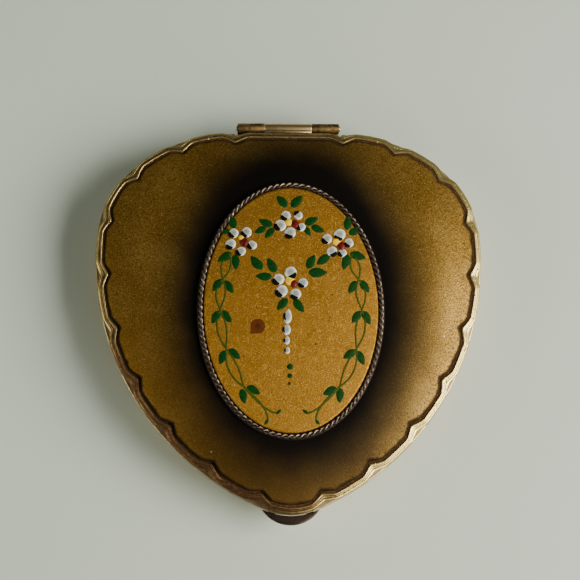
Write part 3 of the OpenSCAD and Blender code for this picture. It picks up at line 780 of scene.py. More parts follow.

# The leaf spring is bent to an arc. Its ends bear on the staple and its crown on the slide.
spring_low, spring_high = ends("catch_spring")
LEAF_SPRING_T = 0.2
bow_depth = spring_high[1] - spring_low[1]
bow_r = (spring_high[0] ** 2 + bow_depth**2) / (2 * bow_depth)
bow_turn = np.arcsin(spring_high[0] / bow_r) * np.linspace(-1, 1, 81)[:, None]
leaf_section = rounded([
    (bow_r, spring_low[2], 0.06), (bow_r, spring_high[2], 0.06),
    (bow_r - LEAF_SPRING_T, spring_high[2], 0.06), (bow_r - LEAF_SPRING_T, spring_low[2], 0.06)], steps=3)
leaf_rings = np.stack([
    leaf_section[:, 0] * np.sin(bow_turn), spring_low[1] + bow_r - leaf_section[:, 0] * np.cos(bow_turn),
    np.broadcast_to(leaf_section[:, 1], (len(bow_turn), len(leaf_section)))], -1)
spring_steel = steel_finish("spring_steel", (0.26, 0.27, 0.32), 0.3, (0.1, 1, 1))
leaf_spring = build("leaf_spring", [capped_surface(leaf_rings)], spring_steel, "base", ["catch_spring"])
pressed = joint("catch_press")["range_m"][1] / MM
1 - pressed / bow_depth
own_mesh(leaf_spring)


def refinish(node, finish):
    """Gives its finish to a piece that keeps its CAD shape."""
    materials = frame["nodes"][node].data.materials
    materials.clear()
    materials.append(finish)


refinish("catch_guide", inner_gilt)
refinish("catch_slide", thumb_gilt)

# ======================================================================================================
# Lid frame. One folded strip of brass: a scalloped skirt, then a rim with a bead along its outer edge, a
# shallow channel and a fine inner lip, and a ledge inside that carries the dome. Bright where rubbed.
# ======================================================================================================

OUTER_NOTCH, INNER_NOTCH = 0.65, 1.15
RIM_W, LEDGE_DOWN, LEDGE_T, LEDGE_LAP = 1.25, 0.2, 0.3, 0.2
ledge_top = rim_high[2] - LEDGE_DOWN
ledge_under = ledge_top - LEDGE_T
mirror_low, mirror_high = ends("mirror_frame")
LEDGE_EDGE = BACK_Y - mirror_high[1] + LEDGE_LAP
# Each corner: inset, height, notch depth, how much it is rubbed bright, radius.
frame_path = rounded([
    (0.0, rim_low[2], OUTER_NOTCH, 0.8, 0.12), (0.0, rim_high[2] - 0.8, OUTER_NOTCH, 0.3, 0.15),
    (0.10, rim_high[2] - 0.46, OUTER_NOTCH, 0.7, 0.12), (0.40, rim_high[2] - 0.26, 0.74, 1.0, 0.08),
    (0.49, rim_high[2] - 0.32, 0.78, 0.0, 0.05), (0.60, rim_high[2] - 0.17, 0.84, 0.9, 0.08),
    (0.80, rim_high[2] - 0.16, 0.92, 0.1, 0.10), (0.98, rim_high[2], 1.0, 0.9, 0.08),
    (RIM_W - 0.03, rim_high[2] - 0.03, INNER_NOTCH, 1.0, 0.08),
    (RIM_W, ledge_top, INNER_NOTCH, 0.0, 0.06), (LEDGE_EDGE, ledge_top, 0, 0.0, 0.05),
    (LEDGE_EDGE, ledge_under, 0, 0.3, 0.05), (SHEET, ledge_under, OUTER_NOTCH, 0.3, 0.1),
    (SHEET, rim_low[2], OUTER_NOTCH, 0.5, 0.12),
], steps=6)
frame_rings = carry(frame_path[:, :3])
rubbed = np.broadcast_to(frame_path[:, 3:4], frame_rings.shape[:2])


def rim_finish():
    """The rim's gilding: pale and bright along the bead and the lip, brown in the channel and the fold
    under the bead, with wear that comes and goes along the length and dark pits where it has corroded.
    It is darker towards the tip and the lower left with painted shade, and lighter on its rubbed ridges down
    the right side with painted light."""
    finish = Finish("lid_rim", Metallic=1.0)
    bright = finish.mark("rubbed")
    cloud = finish.noise(6.0, 4.0, 0.6)
    blotch = finish.noise(0.7, 4.0, 0.65)
    fine = finish.noise(0.14, 2.0, 0.6)
    x, y, _ = finish.axes()
    # Painted shade: darker towards the tip and the lower left, away from the light.
    tip_and_left_shade = (x * 0.9 + y).step(TIP_Y - 3.0, TIP_Y + 13.0, 0.42, 0.0)
    # Painted light: the rubbed ridges are lighter down the right side, which faces the light.
    right_side_light = x.step(4.0, 26.0, 0.0, 0.5) * (bright * 9.0).clamp()
    # Real wear, mixed with the painted light and shade above.
    wear_light_and_shade = (bright * 0.8 + cloud * 0.8 + blotch * 0.7 - 0.95 - tip_and_left_shade + right_side_light).step(0.0, 0.62)
    pits = finish.spots(0.7).step(0.12, 0.26, 1.0, 0.0) * finish.noise(2.2).step(0.44, 0.56)
    shade = finish.blend(wear_light_and_shade, (0.12, 0.062, 0.028), (0.82, 0.63, 0.23))
    shade = finish.blend(blotch.step(0.50, 0.66) * (0.7 - right_side_light), shade, (0.25, 0.13, 0.05))
    shade = finish.blend(pits * 0.85, shade, (0.05, 0.03, 0.015))
    finish.bump(blotch * 0.6 + fine * 0.4 - pits * 1.5, 0.035)
    return finish.set(Base_Color=shade, Roughness=(0.44 - wear_light_and_shade * 0.16 + fine * 0.08 + pits * 0.3).clamp())


build("scalloped_rim", [loop_surface(frame_rings)], rim_finish(), "lid", ["lid_frame"],
    {"rubbed": rubbed})

# ======================================================================================================
# Lid panel. A shallow dome of thin brass, its scalloped edge turned down into the groove inside the rim.
# It is sprayed with gold lacquer, satin and finely grained, and shaded to black round the plaque.
# ======================================================================================================

panel_low, panel_high = ends("lid_panel")
bezel_low, bezel_high = ends("plaque_bezel")
plaque_mid = (bezel_low + bezel_high)[:2] / 2
OVAL_X, OVAL_Y = (bezel_high - bezel_low)[:2] / 2
PANEL_INSET, PANEL_T, SEAT_MARGIN = 1.72, 0.45, 0.4
DOME_RISE = panel_high[2] - panel_low[2]


def to_seat(edge):
    """Where the line from the plaque's centre to a point crosses the plaque's oval seat."""
    v = edge - plaque_mid
    scale = np.hypot(v[..., 0] / (OVAL_X + SEAT_MARGIN), v[..., 1] / (OVAL_Y + SEAT_MARGIN))
    return plaque_mid + v / scale[..., None]


def dome_rings(shares, inset, drop):
    """Rings of the dome from its scalloped edge, share 0, to the plaque's seat, share 1. The height is a
    parabola in the distance from the seat, level there and steepest at the outline."""
    line = np.stack(outline(stations, 0), -1)
    edge = np.stack(outline(stations, inset + INNER_NOTCH * notch(stations)), -1)
    seat = to_seat(line)
    gone = np.linalg.norm(edge - line, axis=-1) / np.linalg.norm(seat - line, axis=-1)
    xy = edge + shares[:, None, None] * (seat - edge)
    left = (1 - gone) * (1 - shares[:, None])
    z = panel_low[2] + DOME_RISE * (1 - left**2) - drop
    return np.concatenate([xy, z[..., None]], -1), np.linalg.norm(xy - edge, axis=-1)


SEAT_IN = np.array([0.02, 0.3, 0.6, 0.9])
shares = np.concatenate([[0.0, 0.004, 0.012, 0.022, 0.034, 0.05], np.linspace(0.07, 1, 46)])
upper, from_edge = dome_rings(shares, PANEL_INSET, 0.0)
# The edge rolls over in a quarter of an oval.
ROLL_R, ROLL_DOWN = 0.5, 0.8
roll = np.clip(1 - from_edge / ROLL_R, 0, 1)
upper[..., 2] -= ROLL_R * (1 - np.sqrt(np.clip(1 - roll**2, 0, 1))) * ROLL_DOWN
skirt = upper[:1].copy()
skirt[..., 2] = panel_low[2]
seat_ring = upper[-1]
seat_centre = np.array([*plaque_mid, seat_ring[0, 2]])
top_cap = np.stack([seat_centre + k * (seat_ring - seat_centre) for k in SEAT_IN[::-1]])
lower, _ = dome_rings(np.linspace(0, 1, 12), PANEL_INSET + SHEET, PANEL_T)
inner_skirt = lower[:1].copy()
inner_skirt[..., 2] = panel_low[2]
under_centre = seat_centre - [0, 0, PANEL_T]
low_cap = np.stack([under_centre + k * (lower[-1] - under_centre) for k in SEAT_IN[::-1]])
panel_rings = np.concatenate([top_cap[::-1], upper[::-1], skirt, inner_skirt, lower, low_cap])
EDGE_FAR = 9.0
edge_mark = np.concatenate([
    np.full((len(SEAT_IN), len(stations)), EDGE_FAR), from_edge[::-1],
    np.zeros((2, len(stations))), np.full((len(lower) + len(SEAT_IN), len(stations)), EDGE_FAR)])
edge_mark = np.concatenate([np.minimum(edge_mark, EDGE_FAR).ravel(), [EDGE_FAR, EDGE_FAR]])
SHADE_X, SHADE_Y, SHADE_UP = 27.0, 40.0, 1.5


def lacquer_finish():
    """Sprayed gold lacquer: metal grain at about a third of a millimetre, slow clouds of browner colour,
    a black airbrushed shade round the plaque that fades out in an oval, old dirt and painted shade in the
    groove at the turned edge, bare brown flecks along it, and a few dust specks. More of the airbrushed
    shade lies towards the hinge. The gold is paler towards the lower right with a painted sheen, and
    darker towards the lower left with painted shade."""
    finish = Finish("gold_lacquer", Specular_IOR_Level=0.06)
    x, y, _ = finish.axes()
    cloud = finish.noise(9.0, 3.0, 0.5)
    drift = finish.noise(2.2, 3.0, 0.6)
    grain = finish.noise(0.34, 2.0, 0.75)
    flake = finish.noise(0.24, 1.0, 0.6)
    dx = (x - plaque_mid[0]) / SHADE_X
    dy = (y - (plaque_mid[1] + SHADE_UP)) / SHADE_Y
    reach = (dx * dx + dy * dy).math("SQRT") + (cloud - 0.5) * 0.10 + (grain - 0.5) * 0.10
    shaded = reach.step(0.68, 1.18, 1.0, 0.0) ** 0.75
    from_rim = finish.mark("from_edge")
    # Darker in the groove at the turned edge: old dirt and painted shade.
    groove_dirt_and_shade = (from_rim + (drift - 0.5) * 0.9).step(0.05, 0.7, 1.0, 0.0)
    flecked = (from_rim + cloud * 6.0 - x * 0.05).step(2.0, 5.5, 1.0, 0.0)
    flecks = finish.noise(0.4, 3.0, 0.7).step(0.56, 0.66) * flecked
    gold = finish.blend(cloud.step(0.3, 0.7), (0.215, 0.115, 0.013), (0.30, 0.175, 0.036))
    gold = finish.blend(grain.step(0.42, 0.66) * 0.85, gold, (0.10, 0.048, 0.004))
    gold = finish.blend(flake.step(0.56, 0.72) * 0.48, gold, (0.66, 0.44, 0.13))
    gold = finish.blend(flecks * 0.7, gold, (0.17, 0.075, 0.02))
    # Painted sheen, paler towards the lower right, and painted shade, darker towards the lower left.
    painted_sheen, painted_left_shade = (x - y).step(0.0, 50.0) * 0.30, (x * -0.6 - y).step(2.0, 34.0) * 0.5
    gold = finish.blend(painted_sheen, gold, (0.30, 0.20, 0.08))
    gold = finish.blend(painted_left_shade, gold, (0.17, 0.075, 0.008))
    tinted = finish.blend(shaded, gold, (0.003, 0.002, 0.0012))
    dust = finish.spots(8.5).step(0.018, 0.028, 1.0, 0.0)
    colour = finish.blend(groove_dirt_and_shade * 0.95, tinted, (0.018, 0.009, 0.004))
    colour = finish.blend(dust * 0.5, colour, (0.45, 0.42, 0.36))
    finish.bump(grain * 0.9 + flake * 0.5 + flecks * -0.8, 0.065)
    metal = (1 - shaded) * (1 - groove_dirt_and_shade * 0.8) * 0.7
    return finish.set(Base_Color=colour, Metallic=metal.clamp(),
        Roughness=(0.34 + grain * 0.12 + shaded * 0.16 + groove_dirt_and_shade * 0.15).clamp())


build("lacquered_dome", [capped_surface(panel_rings, seat_centre, under_centre)], lacquer_finish(), "lid",
    ["lid_panel"], {"from_edge": edge_mark})

# ======================================================================================================
# Plaque bezel. An oval of twisted wire laid on a narrow flat strip, pressed down over the plaque's edge.
# It has oxidised to a brownish grey, with light catching on the crown of each strand.
# ======================================================================================================

BEZEL_W = 1.35
STRANDS, TWISTS, STEPS_PER_TWIST = 2, 54, 16
ROPE_R, WIRE_SHARE, WIND_SIDE, WIND_LIFT = 0.5, 0.58, 0.5, 0.3
STRIP_SIDE, STRIP_T, ROPE_SEAT = 0.38, 0.62, 0.30
# The oval's perimeter in even steps: angles found by interpolating its running length.
fine = np.linspace(0, 2 * np.pi, 4001)


def oval(a, shrink_by):
    """The plaque's oval at angle a from +X, moved inwards by shrink_by."""
    return np.stack([(OVAL_X - shrink_by) * np.cos(a), (OVAL_Y - shrink_by) * np.sin(a)], -1) + plaque_mid


run = np.concatenate([[0], np.cumsum(np.linalg.norm(np.diff(oval(fine, BEZEL_W / 2), axis=0), axis=-1))])
rope_n = TWISTS * STEPS_PER_TWIST
rope_a = np.interp(np.linspace(0, run[-1], rope_n, endpoint=False), run, fine)
rope_line = oval(rope_a, BEZEL_W / 2)
ahead = np.roll(rope_line, -1, 0) - np.roll(rope_line, 1, 0)
outward = np.stack([ahead[:, 1], -ahead[:, 0]], -1) / np.linalg.norm(ahead, axis=-1, keepdims=True)
phase = np.arange(rope_n) / rope_n * TWISTS * 2 * np.pi
wires = []
WIRE_R = ROPE_R * WIRE_SHARE
wire_turn = np.linspace(0, 2 * np.pi, 12, endpoint=False)
rope_z = bezel_low[2] + ROPE_SEAT + ROPE_R
for strand in range(STRANDS):
    # Each wire winds round the rope's centre line at its own phase.
    wind = phase + strand * 2 * np.pi / STRANDS
    side, lift = np.cos(wind) * ROPE_R * WIND_SIDE, np.sin(wind) * ROPE_R * WIND_LIFT
    mid = np.concatenate([rope_line + outward * side[:, None], (rope_z + lift)[:, None]], -1)
    ring = np.cos(wire_turn)[None, :, None] * np.concatenate([outward, np.zeros((rope_n, 1))], -1)[:, None]
    ring = ring + np.sin(wire_turn)[None, :, None] * np.array([0, 0, 1.0])
    wires.append(mid[:, None] + WIRE_R * ring)
strip_path = rounded([
    (0, bezel_low[2], 0.05), (0, bezel_low[2] + STRIP_SIDE, 0.12), (0.25, bezel_low[2] + STRIP_T, 0.1),
    (BEZEL_W - 0.25, bezel_low[2] + STRIP_T, 0.1), (BEZEL_W, bezel_low[2] + STRIP_SIDE, 0.12),
    (BEZEL_W, bezel_low[2], 0.05)], steps=3)
strip_a = np.linspace(0, 2 * np.pi, 360, endpoint=False)
strip_rings = np.stack([
    np.concatenate([oval(strip_a, inset), np.full((len(strip_a), 1), z)], -1) for inset, z in strip_path])


def bezel_finish():
    """Oxidised brass wire: brown-black in the hollows between strands, greyish and rubbed on the crowns,
    with odd flecks of bright metal."""
    finish = Finish("bezel_metal", Metallic=1.0)
    _, _, z = finish.axes()
    height = z.step(bezel_low[2] + 0.55, bezel_high[2] - 0.1)
    mottle = finish.noise(0.5, 4.0, 0.7)
    patch = finish.noise(4.0, 2.0, 0.5)
    bright = (height * 0.6 + mottle * 1.2 + patch * 0.6 - 1.05).step(0.0, 0.8)
    shade = finish.blend(bright, (0.050, 0.034, 0.024), (0.24, 0.182, 0.135))
    shade = finish.blend(mottle.step(0.56, 0.70) * height * 0.7, shade, (0.55, 0.46, 0.36))
    finish.bump(mottle, 0.03)
    return finish.set(Base_Color=shade, Roughness=(0.52 - bright * 0.18).clamp())


build("rope_bezel", [loop_surface(strip_rings)] + [loop_surface(w) for w in wires], bezel_finish(), "lid",
    ["plaque_bezel"])

# ======================================================================================================
# Oval plaque. A slightly crowned plate under the bezel, with a mustard-gold sprayed ground that has a
# coarse sparkle. It carries a reddish-brown stain, and flyspecks.
# ======================================================================================================

plate_base = ends("oval_plaque")[0][2]
PLATE_EDGE, PLATE_CROWN = 0.9, 0.9
plate_x, plate_y = OVAL_X - BEZEL_W, OVAL_Y - BEZEL_W


def plate_height(x, y):
    """The plaque's surface over a point measured from its centre: a crown that falls with the square
    of the distance, measured in the oval's own radii."""
    return plate_base + PLATE_EDGE + PLATE_CROWN * (1 - (x / plate_x) ** 2 - (y / plate_y) ** 2)


share = np.linspace(0.02, 1, 60)[:, None]
ox, oy = share * plate_x * np.cos(strip_a), share * plate_y * np.sin(strip_a)
plate_up = np.stack([ox + plaque_mid[0], oy + plaque_mid[1], plate_height(ox, oy)], -1)
# The flat underside needs only three of the rings.
UNDER_RINGS = [-1, 30, 2]
plate_down = np.stack([plate_up[..., 0], plate_up[..., 1], np.full_like(ox, plate_base)], -1)[UNDER_RINGS]
# Flyspecks: X and Y from the plaque's centre, and size.
SPECKS = [(5.4, 5.1, 0.20), (7.9, 2.6, 0.24), (3.5, 3.0, 0.16), (7.5, -1.9, 0.20), (7.3, -2.4, 0.20),
    (4.6, -7.1, 0.26), (-9.2, -9.4, 0.20), (-6.7, 0.1, 0.22), (9.5, 7.6, 0.14), (-2.6, -18.0, 0.16),
    (1.6, -20.4, 0.16), (-4.2, -11.6, 0.14), (10.8, 3.2, 0.14), (-7.7, -3.0, 0.12)]
STAIN_AT, STAIN_R = (-6.5, -3.6), 1.55


def plaque_finish():
    """Mustard-gold ground: bronze powder in varnish, sparkling at a third of a millimetre, deeper and
    browner towards the top, with a stain that has a dark heart and one drawn-out corner, and flyspecks."""
    finish = Finish("plaque_ground", Specular_IOR_Level=0.2)
    x, y, _ = finish.axes()
    x, y = x - plaque_mid[0], y - plaque_mid[1]
    sparkle = finish.noise(0.36, 2.0, 0.75)
    flake = finish.noise(0.2, 1.0, 0.5)
    cloud = finish.noise(5.0, 3.0, 0.55)
    warm = finish.noise(1.4, 3.0, 0.6)
    gold = finish.blend((y * 0.02 + cloud).step(0.1, 1.0), (0.36, 0.170, 0.014), (0.26, 0.118, 0.007))
    gold = finish.blend(warm.step(0.52, 0.72) * 0.5, gold, (0.58, 0.29, 0.03))
    gold = finish.blend(sparkle.step(0.46, 0.66) * 0.6, gold, (0.17, 0.078, 0.004))
    gold = finish.blend(flake.step(0.57, 0.72) * 0.6, gold, (0.80, 0.53, 0.15))
    sx, sy = x - STAIN_AT[0], y - STAIN_AT[1]
    round_off = (sx * sx + sy * sy).math("SQRT")
    square = (-1 * sx).math("MAXIMUM", -1 * sy)
    corner = (-1 * sx).step(0.0, 0.4) * (-1 * sy).step(0.0, 0.4)
    spread = round_off + (square - round_off) * corner + (warm - 0.5) * 0.3
    stain = spread.step(STAIN_R - 0.18, STAIN_R + 0.02, 1.0, 0.0)
    heart = spread.step(0.1, 0.8, 1.0, 0.0)
    brown = finish.blend(heart, (0.085, 0.016, 0.003), (0.03, 0.006, 0.002))
    colour = finish.blend(stain * 0.92, gold, brown)
    for at_x, at_y, size in SPECKS:
        off_x, off_y = x - at_x, y - at_y
        near = (off_x * off_x + off_y * off_y).math("SQRT") + (sparkle - 0.5) * 0.15
        colour = finish.blend(near.step(size * 0.5, size, 0.85, 0.0), colour, (0.07, 0.015, 0.006))
    finish.bump(sparkle * 0.9 + flake * 0.4 - stain * 0.3, 0.07)
    return finish.set(Base_Color=colour, Metallic=(0.55 - stain * 0.5).clamp(),
        Roughness=(0.44 + sparkle * 0.12 - stain * 0.12).clamp())


plate_rings = np.concatenate([plate_up, plate_down])
build("plaque_plate", [capped_surface(plate_rings)], plaque_finish(), "lid", ["oval_plaque"])

# ======================================================================================================
# Painting. Enamel laid on by brush in thick dabs: white petals, each with a black stroke, yellow and dark
# red centres, leaves, twining stems, and a pendant of white drops. Every dab stands proud of the ground.
# ======================================================================================================

# Places are from the plaque's centre; angles are from +X, counter-clockwise, in degrees.
rng = np.random.default_rng(7)
PETAL_H, YELLOW_H, RED_H, LEAF_H, DOT_H = 0.26, 0.28, 0.34, 0.13, 0.12
STROKE_H, STROKE_LIFT, STEM_H = 0.07, 0.185, 0.10
DAB_SINK, DAB_UNDER = 0.01, 0.12
# Each dab is rings of points from near its middle, even in a quarter turn whose sine is their size.
DAB_COLUMNS = 22
dab_share = np.sin(np.linspace(0.12, 1, 7) * np.pi / 2)


def dab(x, y, angle, length, width, height, tip=0.0):
    """A dab of paint: a low dome on the plaque. Its outline is an oval that is drawn out to a point at
    both ends as tip goes from 0 to 1, widest behind the middle, and its thickness falls to the edge
    much as a quarter circle does."""
    a = np.linspace(0, 2 * np.pi, DAB_COLUMNS, endpoint=False)
    wobble = 1 + 0.035 * rng.standard_normal(3) @ np.stack([np.cos(a), np.cos(2 * a + 1), np.sin(3 * a)])
    u = np.cos(a) * length / 2
    v = np.sin(a) * np.abs(np.sin(a)) ** (0.75 * tip) * (1 - 0.5 * tip * np.cos(a)) * width / 2 * wobble
    share = dab_share[:, None]
    turn_by = np.radians(angle)
    px = x + share * (u * np.cos(turn_by) - v * np.sin(turn_by))
    py = y + share * (u * np.sin(turn_by) + v * np.cos(turn_by))
    lift = height * np.sqrt(np.clip(1 - share**2.2, 0, 1)) * np.ones_like(px)
    top = np.stack([px, py, plate_height(px, py) + lift - DAB_SINK], -1)
    under = top[-1:] - [0, 0, DAB_UNDER]
    return capped_surface(np.concatenate([top, under]) + [*plaque_mid, 0])


def dab_marks(dabs):
    """For every point of each dab, how far out it lies, from 0 in its middle to 1 at its edge."""
    return np.tile(np.concatenate([np.repeat([*dab_share, 1], DAB_COLUMNS), [0, 1]]), len(dabs))


def stroke(line, width, height, taper=0.0, sides=8):
    """A brush stroke: a flattened tube along a line on the plaque, drawn out thin at its ends by taper."""
    line = np.asarray(line, float)
    t = np.linspace(0, 1, len(line))
    way = np.gradient(line, axis=0)
    way /= np.linalg.norm(way, axis=-1, keepdims=True)
    across = np.stack([way[:, 1], -way[:, 0]], -1)
    size = width / 2 * (1 - taper + taper * np.sin(np.pi * np.clip(t, 0.02, 0.98)) ** 0.7)
    a = np.linspace(0, 2 * np.pi, sides, endpoint=False)
    xy = line[:, None] + across[:, None] * (size[:, None] * np.cos(a))[..., None]
    z = plate_height(xy[..., 0], xy[..., 1]) + height * np.sin(a)[None] * (size / size.max())[:, None]
    return capped_surface(np.concatenate([xy + plaque_mid, z[..., None]], -1))


def enamel(name, colour, dark, roughness=0.32, gloss=0.45, middle=None):
    """Brush-laid enamel: full gloss gone soft, with streaks of a darker shade and a faint crackle. A
    middle colour is what shows where the brush left the paint thin."""
    finish = Finish(name, Specular_IOR_Level=gloss)
    streak = finish.noise(0.45, 3.0, 0.6)
    speck = finish.noise(0.12, 2.0, 0.6)
    shade = finish.blend(streak.step(0.45, 0.66), colour, dark)
    shade = finish.blend(speck.step(0.66, 0.8) * 0.5, shade, tuple(0.35 * c for c in dark))
    if middle:
        thin = finish.mark("from_middle") + (streak - 0.5) * 0.9
        shade = finish.blend(thin.step(0.30, 0.95, 0.8, 0.0), shade, middle)
    finish.bump(streak + speck * 0.5, 0.03)
    return finish.set(Base_Color=shade, Roughness=(speck * 0.15 + roughness).clamp())


# Each flower: its petals (X, Y, size, angle of the black stroke's middle), its yellow and its red dab.
FLOWERS = [
    ([(-0.9, 18.5, 2.0, 235), (1.55, 18.5, 1.75, 130), (-2.0, 16.5, 2.35, 215), (-0.1, 15.0, 2.35, 250),
        (2.1, 16.15, 1.75, 200)], (-0.35, 17.1, 1.25), (0.9, 16.7, 1.85)),
    ([(-11.1, 14.95, 2.0, 225), (-8.6, 15.1, 2.15, 225), (-11.7, 12.75, 2.15, 245), (-9.7, 11.25, 1.95, 215),
        (-7.5, 12.5, 1.9, 215)], (-9.6, 14.0, 1.1), (-9.1, 13.1, 1.95)),
    ([(7.1, 13.8, 2.1, 230), (9.6, 14.7, 2.5, 245), (11.4, 13.1, 1.9, 235), (8.0, 11.3, 2.15, 300),
        (10.1, 11.0, 1.7, 215)], (9.0, 13.4, 1.6), (9.85, 12.4, 1.85)),
    ([(-0.1, 7.0, 2.45, 300), (-2.45, 5.6, 2.35, 225), (-1.85, 3.3, 2.45, 225), (0.85, 2.75, 2.2, 245),
        (2.3, 4.95, 1.95, 235)], (-0.25, 5.4, 1.7), (0.45, 4.75, 1.65)),
]
petals, strokes, yellows, reds = [], [], [], []
for petal_list, yellow, red in FLOWERS:
    for x, y, size, stroke_angle in petal_list:
        petals.append(dab(x, y, rng.uniform(0, 180), size * 0.98, size * 0.92, PETAL_H))
        a = np.radians(stroke_angle + np.linspace(-58, 58, 15))
        line = np.stack([x + 0.36 * size * np.cos(a), y + 0.36 * size * np.sin(a)], -1)
        strokes.append((line, 0.42 * size))
    yellows.append(dab(*yellow[:2], 60, yellow[2] * 1.15, yellow[2] * 1.08, YELLOW_H))
    reds.append(dab(*red[:2], 105, red[2], red[2] * 0.86, RED_H))
# The pendant: white drops that shrink downwards, each with its stroke on the left.
DROPS = [(-0.7, -1.7, 2.9, 1.5), (-0.9, -4.3, 2.15, 1.5), (-0.9, -6.4, 1.6, 1.15),
    (-0.85, -8.35, 1.35, 1.05)]
for x, y, length, width in DROPS:
    petals.append(dab(x, y, 84, length, width, PETAL_H, 0.25))
    a = np.radians(np.linspace(140, 235, 11))
    line = np.stack([x + 0.40 * width * np.cos(a), y + 0.36 * length * np.sin(a)], -1)
    strokes.append((line, 0.30 * width))
black_strokes = []
for line, width in strokes:
    # A black stroke lies on its petal, so it is lifted by most of the petal's thickness.
    points, faces = stroke(line, width, STROKE_H, taper=0.85)
    black_strokes.append((points + [0, 0, STROKE_LIFT], faces))


def paint(name, dabs, finish, marks=None):
    """Seats one colour of the painting on the lid."""
    build(name, dabs, finish, "lid", marks=marks)


white = enamel("white_enamel", (0.88, 0.88, 0.80), (0.40, 0.42, 0.36), 0.38, middle=(0.15, 0.17, 0.12))
paint("petals", petals, white, {"from_middle": dab_marks(petals)})
black = enamel("black_enamel", (0.0015, 0.002, 0.004), (0.006, 0.006, 0.006), 0.35, 0.1)
paint("petal_strokes", black_strokes, black)
yellow_paint = enamel("yellow_enamel", (0.95, 0.62, 0.005), (0.75, 0.36, 0.003), 0.35, 0.15)
paint("yellow_dabs", yellows, yellow_paint)
red_paint = enamel("red_enamel", (0.15, 0.006, 0.002), (0.035, 0.002, 0.002), 0.3, 0.25)
paint("red_dabs", reds, red_paint)

# Leaves that stand by the flowers: X, Y, angle of the tip, length.
LEAVES = [
    (-1.65, 21.4, 130, 2.9), (1.25, 21.4, 47, 3.1), (-4.9, 17.0, 154, 2.75), (-5.9, 15.5, 203, 2.35),
    (-4.15, 14.9, 231, 2.5), (4.05, 17.4, 27, 2.8), (5.3, 15.8, -23, 2.7), (3.3, 15.3, -60, 2.1),
    (-11.3, 17.2, 104, 2.8), (-12.75, 15.3, 190, 1.9), (11.2, 17.1, 84, 2.8), (12.65, 15.5, 24, 2.7),
    (-12.9, 10.1, 212, 3.0), (-10.75, 9.1, 272, 2.9), (13.1, 10.5, -17, 3.1), (10.7, 9.2, 255, 3.1),
    (-6.7, 8.95, 130, 3.3), (-3.75, 8.4, 118, 3.1), (-5.3, 6.2, 178, 3.0), (3.9, 9.15, 62, 3.0),
    (6.3, 9.6, 217, 3.0), (5.2, 7.0, 0, 3.5), (-1.75, 0.7, 228, 2.9), (1.45, 0.4, -52, 3.0),
]
LEAF_SHAPE, LEAF_TIP = 0.56, 0.55
# Down each side, the vine's two stems cross at these places, and a pair of leaves springs from each.
CROSSINGS = np.array([(12.0, 10.9), (13.15, 5.75), (13.7, -0.3), (12.55, -7.9), (9.2, -15.3)])
LEAF_PAIRS = [((-1.15, -1.45, 236), (1.2, -1.3, -52)), ((-1.15, -1.4, 236), (1.0, -1.4, -58)),
    ((-1.5, -1.15, 218), (0.75, -1.7, -68)), ((-1.9, -0.75, 207), (0.0, -1.75, 262))]
STEM_W, STEM_BOW = 0.36, 0.9
# Each loose end of a stem: where it bends towards, its end, and the far side of its dot.
STEM_ENDS = [((5.2, -20.1), (2.9, -20.4), (2.25, -19.9)), ((4.6, -19.1), (4.6, -21.7), (5.1, -22.4))]
leaves = [dab(x, y, a, length * 1.06, length * LEAF_SHAPE, LEAF_H, LEAF_TIP) for x, y, a, length in LEAVES]
stems = []
for side in (-1, 1):
    for cross, pair in zip(CROSSINGS[1:], LEAF_PAIRS):
        for dx, dy, a in pair:
            x, y = cross + [dx, dy] + rng.uniform(-0.12, 0.12, 2)
            tilt = a + rng.uniform(-6, 6)
            tilt = tilt if side > 0 else 180 - tilt
            leaves.append(dab(side * x, y, tilt, 2.95, 2.8 * LEAF_SHAPE, LEAF_H, LEAF_TIP))
    # Between two crossings each stem bows out by half a sine, one to each side.
    t = np.linspace(0, len(CROSSINGS) - 1, 97)
    knots = np.arange(len(CROSSINGS))
    smooth = np.stack([np.polyval(np.polyfit(knots, CROSSINGS[:, k], 4), t) for k in (0, 1)], -1)
    way = np.gradient(smooth, axis=0)
    across = np.stack([way[:, 1], -way[:, 0]], -1) / np.linalg.norm(way, axis=-1, keepdims=True)
    for hand in (-1, 1):
        bowed = smooth + hand * STEM_BOW * np.sin(np.pi * t)[:, None] * across
        stems.append(stroke(bowed * [side, 1], STEM_W, STEM_H))
    # Below the last crossing the two stems part, and each ends in a hooked dot.
    last = CROSSINGS[-1]
    for mid, end, hook in STEM_ENDS:
        k = np.linspace(0, 1, 33)[:, None]
        curve = (1 - k) ** 2 * last + 2 * k * (1 - k) * np.array(mid) + k**2 * np.array(end)
        stems.append(stroke(curve * [side, 1], STEM_W, STEM_H))
        middle = (np.array(end) + hook) / 2 * [side, 1]
        tilt = np.degrees(np.arctan2(hook[1] - end[1], side * (hook[0] - end[0])))
        leaves.append(dab(*middle, tilt, 1.35, 0.6, DOT_H, 0.2))
# Three green dots end the pendant.
DOTS = [(-0.35, -11.5, 1.2), (-0.4, -13.25, 0.95), (-0.5, -14.75, 0.6)]
leaves += [dab(x, y, 0, size, size, DOT_H) for x, y, size in DOTS]
green = enamel("green_enamel", (0.003, 0.048, 0.004), (0.0015, 0.022, 0.002), 0.45, 0.1)
paint("leaves", leaves, green)
stem_green = enamel("stem_enamel", (0.055, 0.075, 0.005), (0.03, 0.05, 0.004), 0.5, 0.12)
paint("stems", stems, stem_green)

# ======================================================================================================
# Mirror. A heart-shaped silvered glass in a shallow gilt frame under the lid, with card behind it. The
# frame's lip is rolled over the glass. The silvering has foxed a little in clouds and spots.
# ======================================================================================================

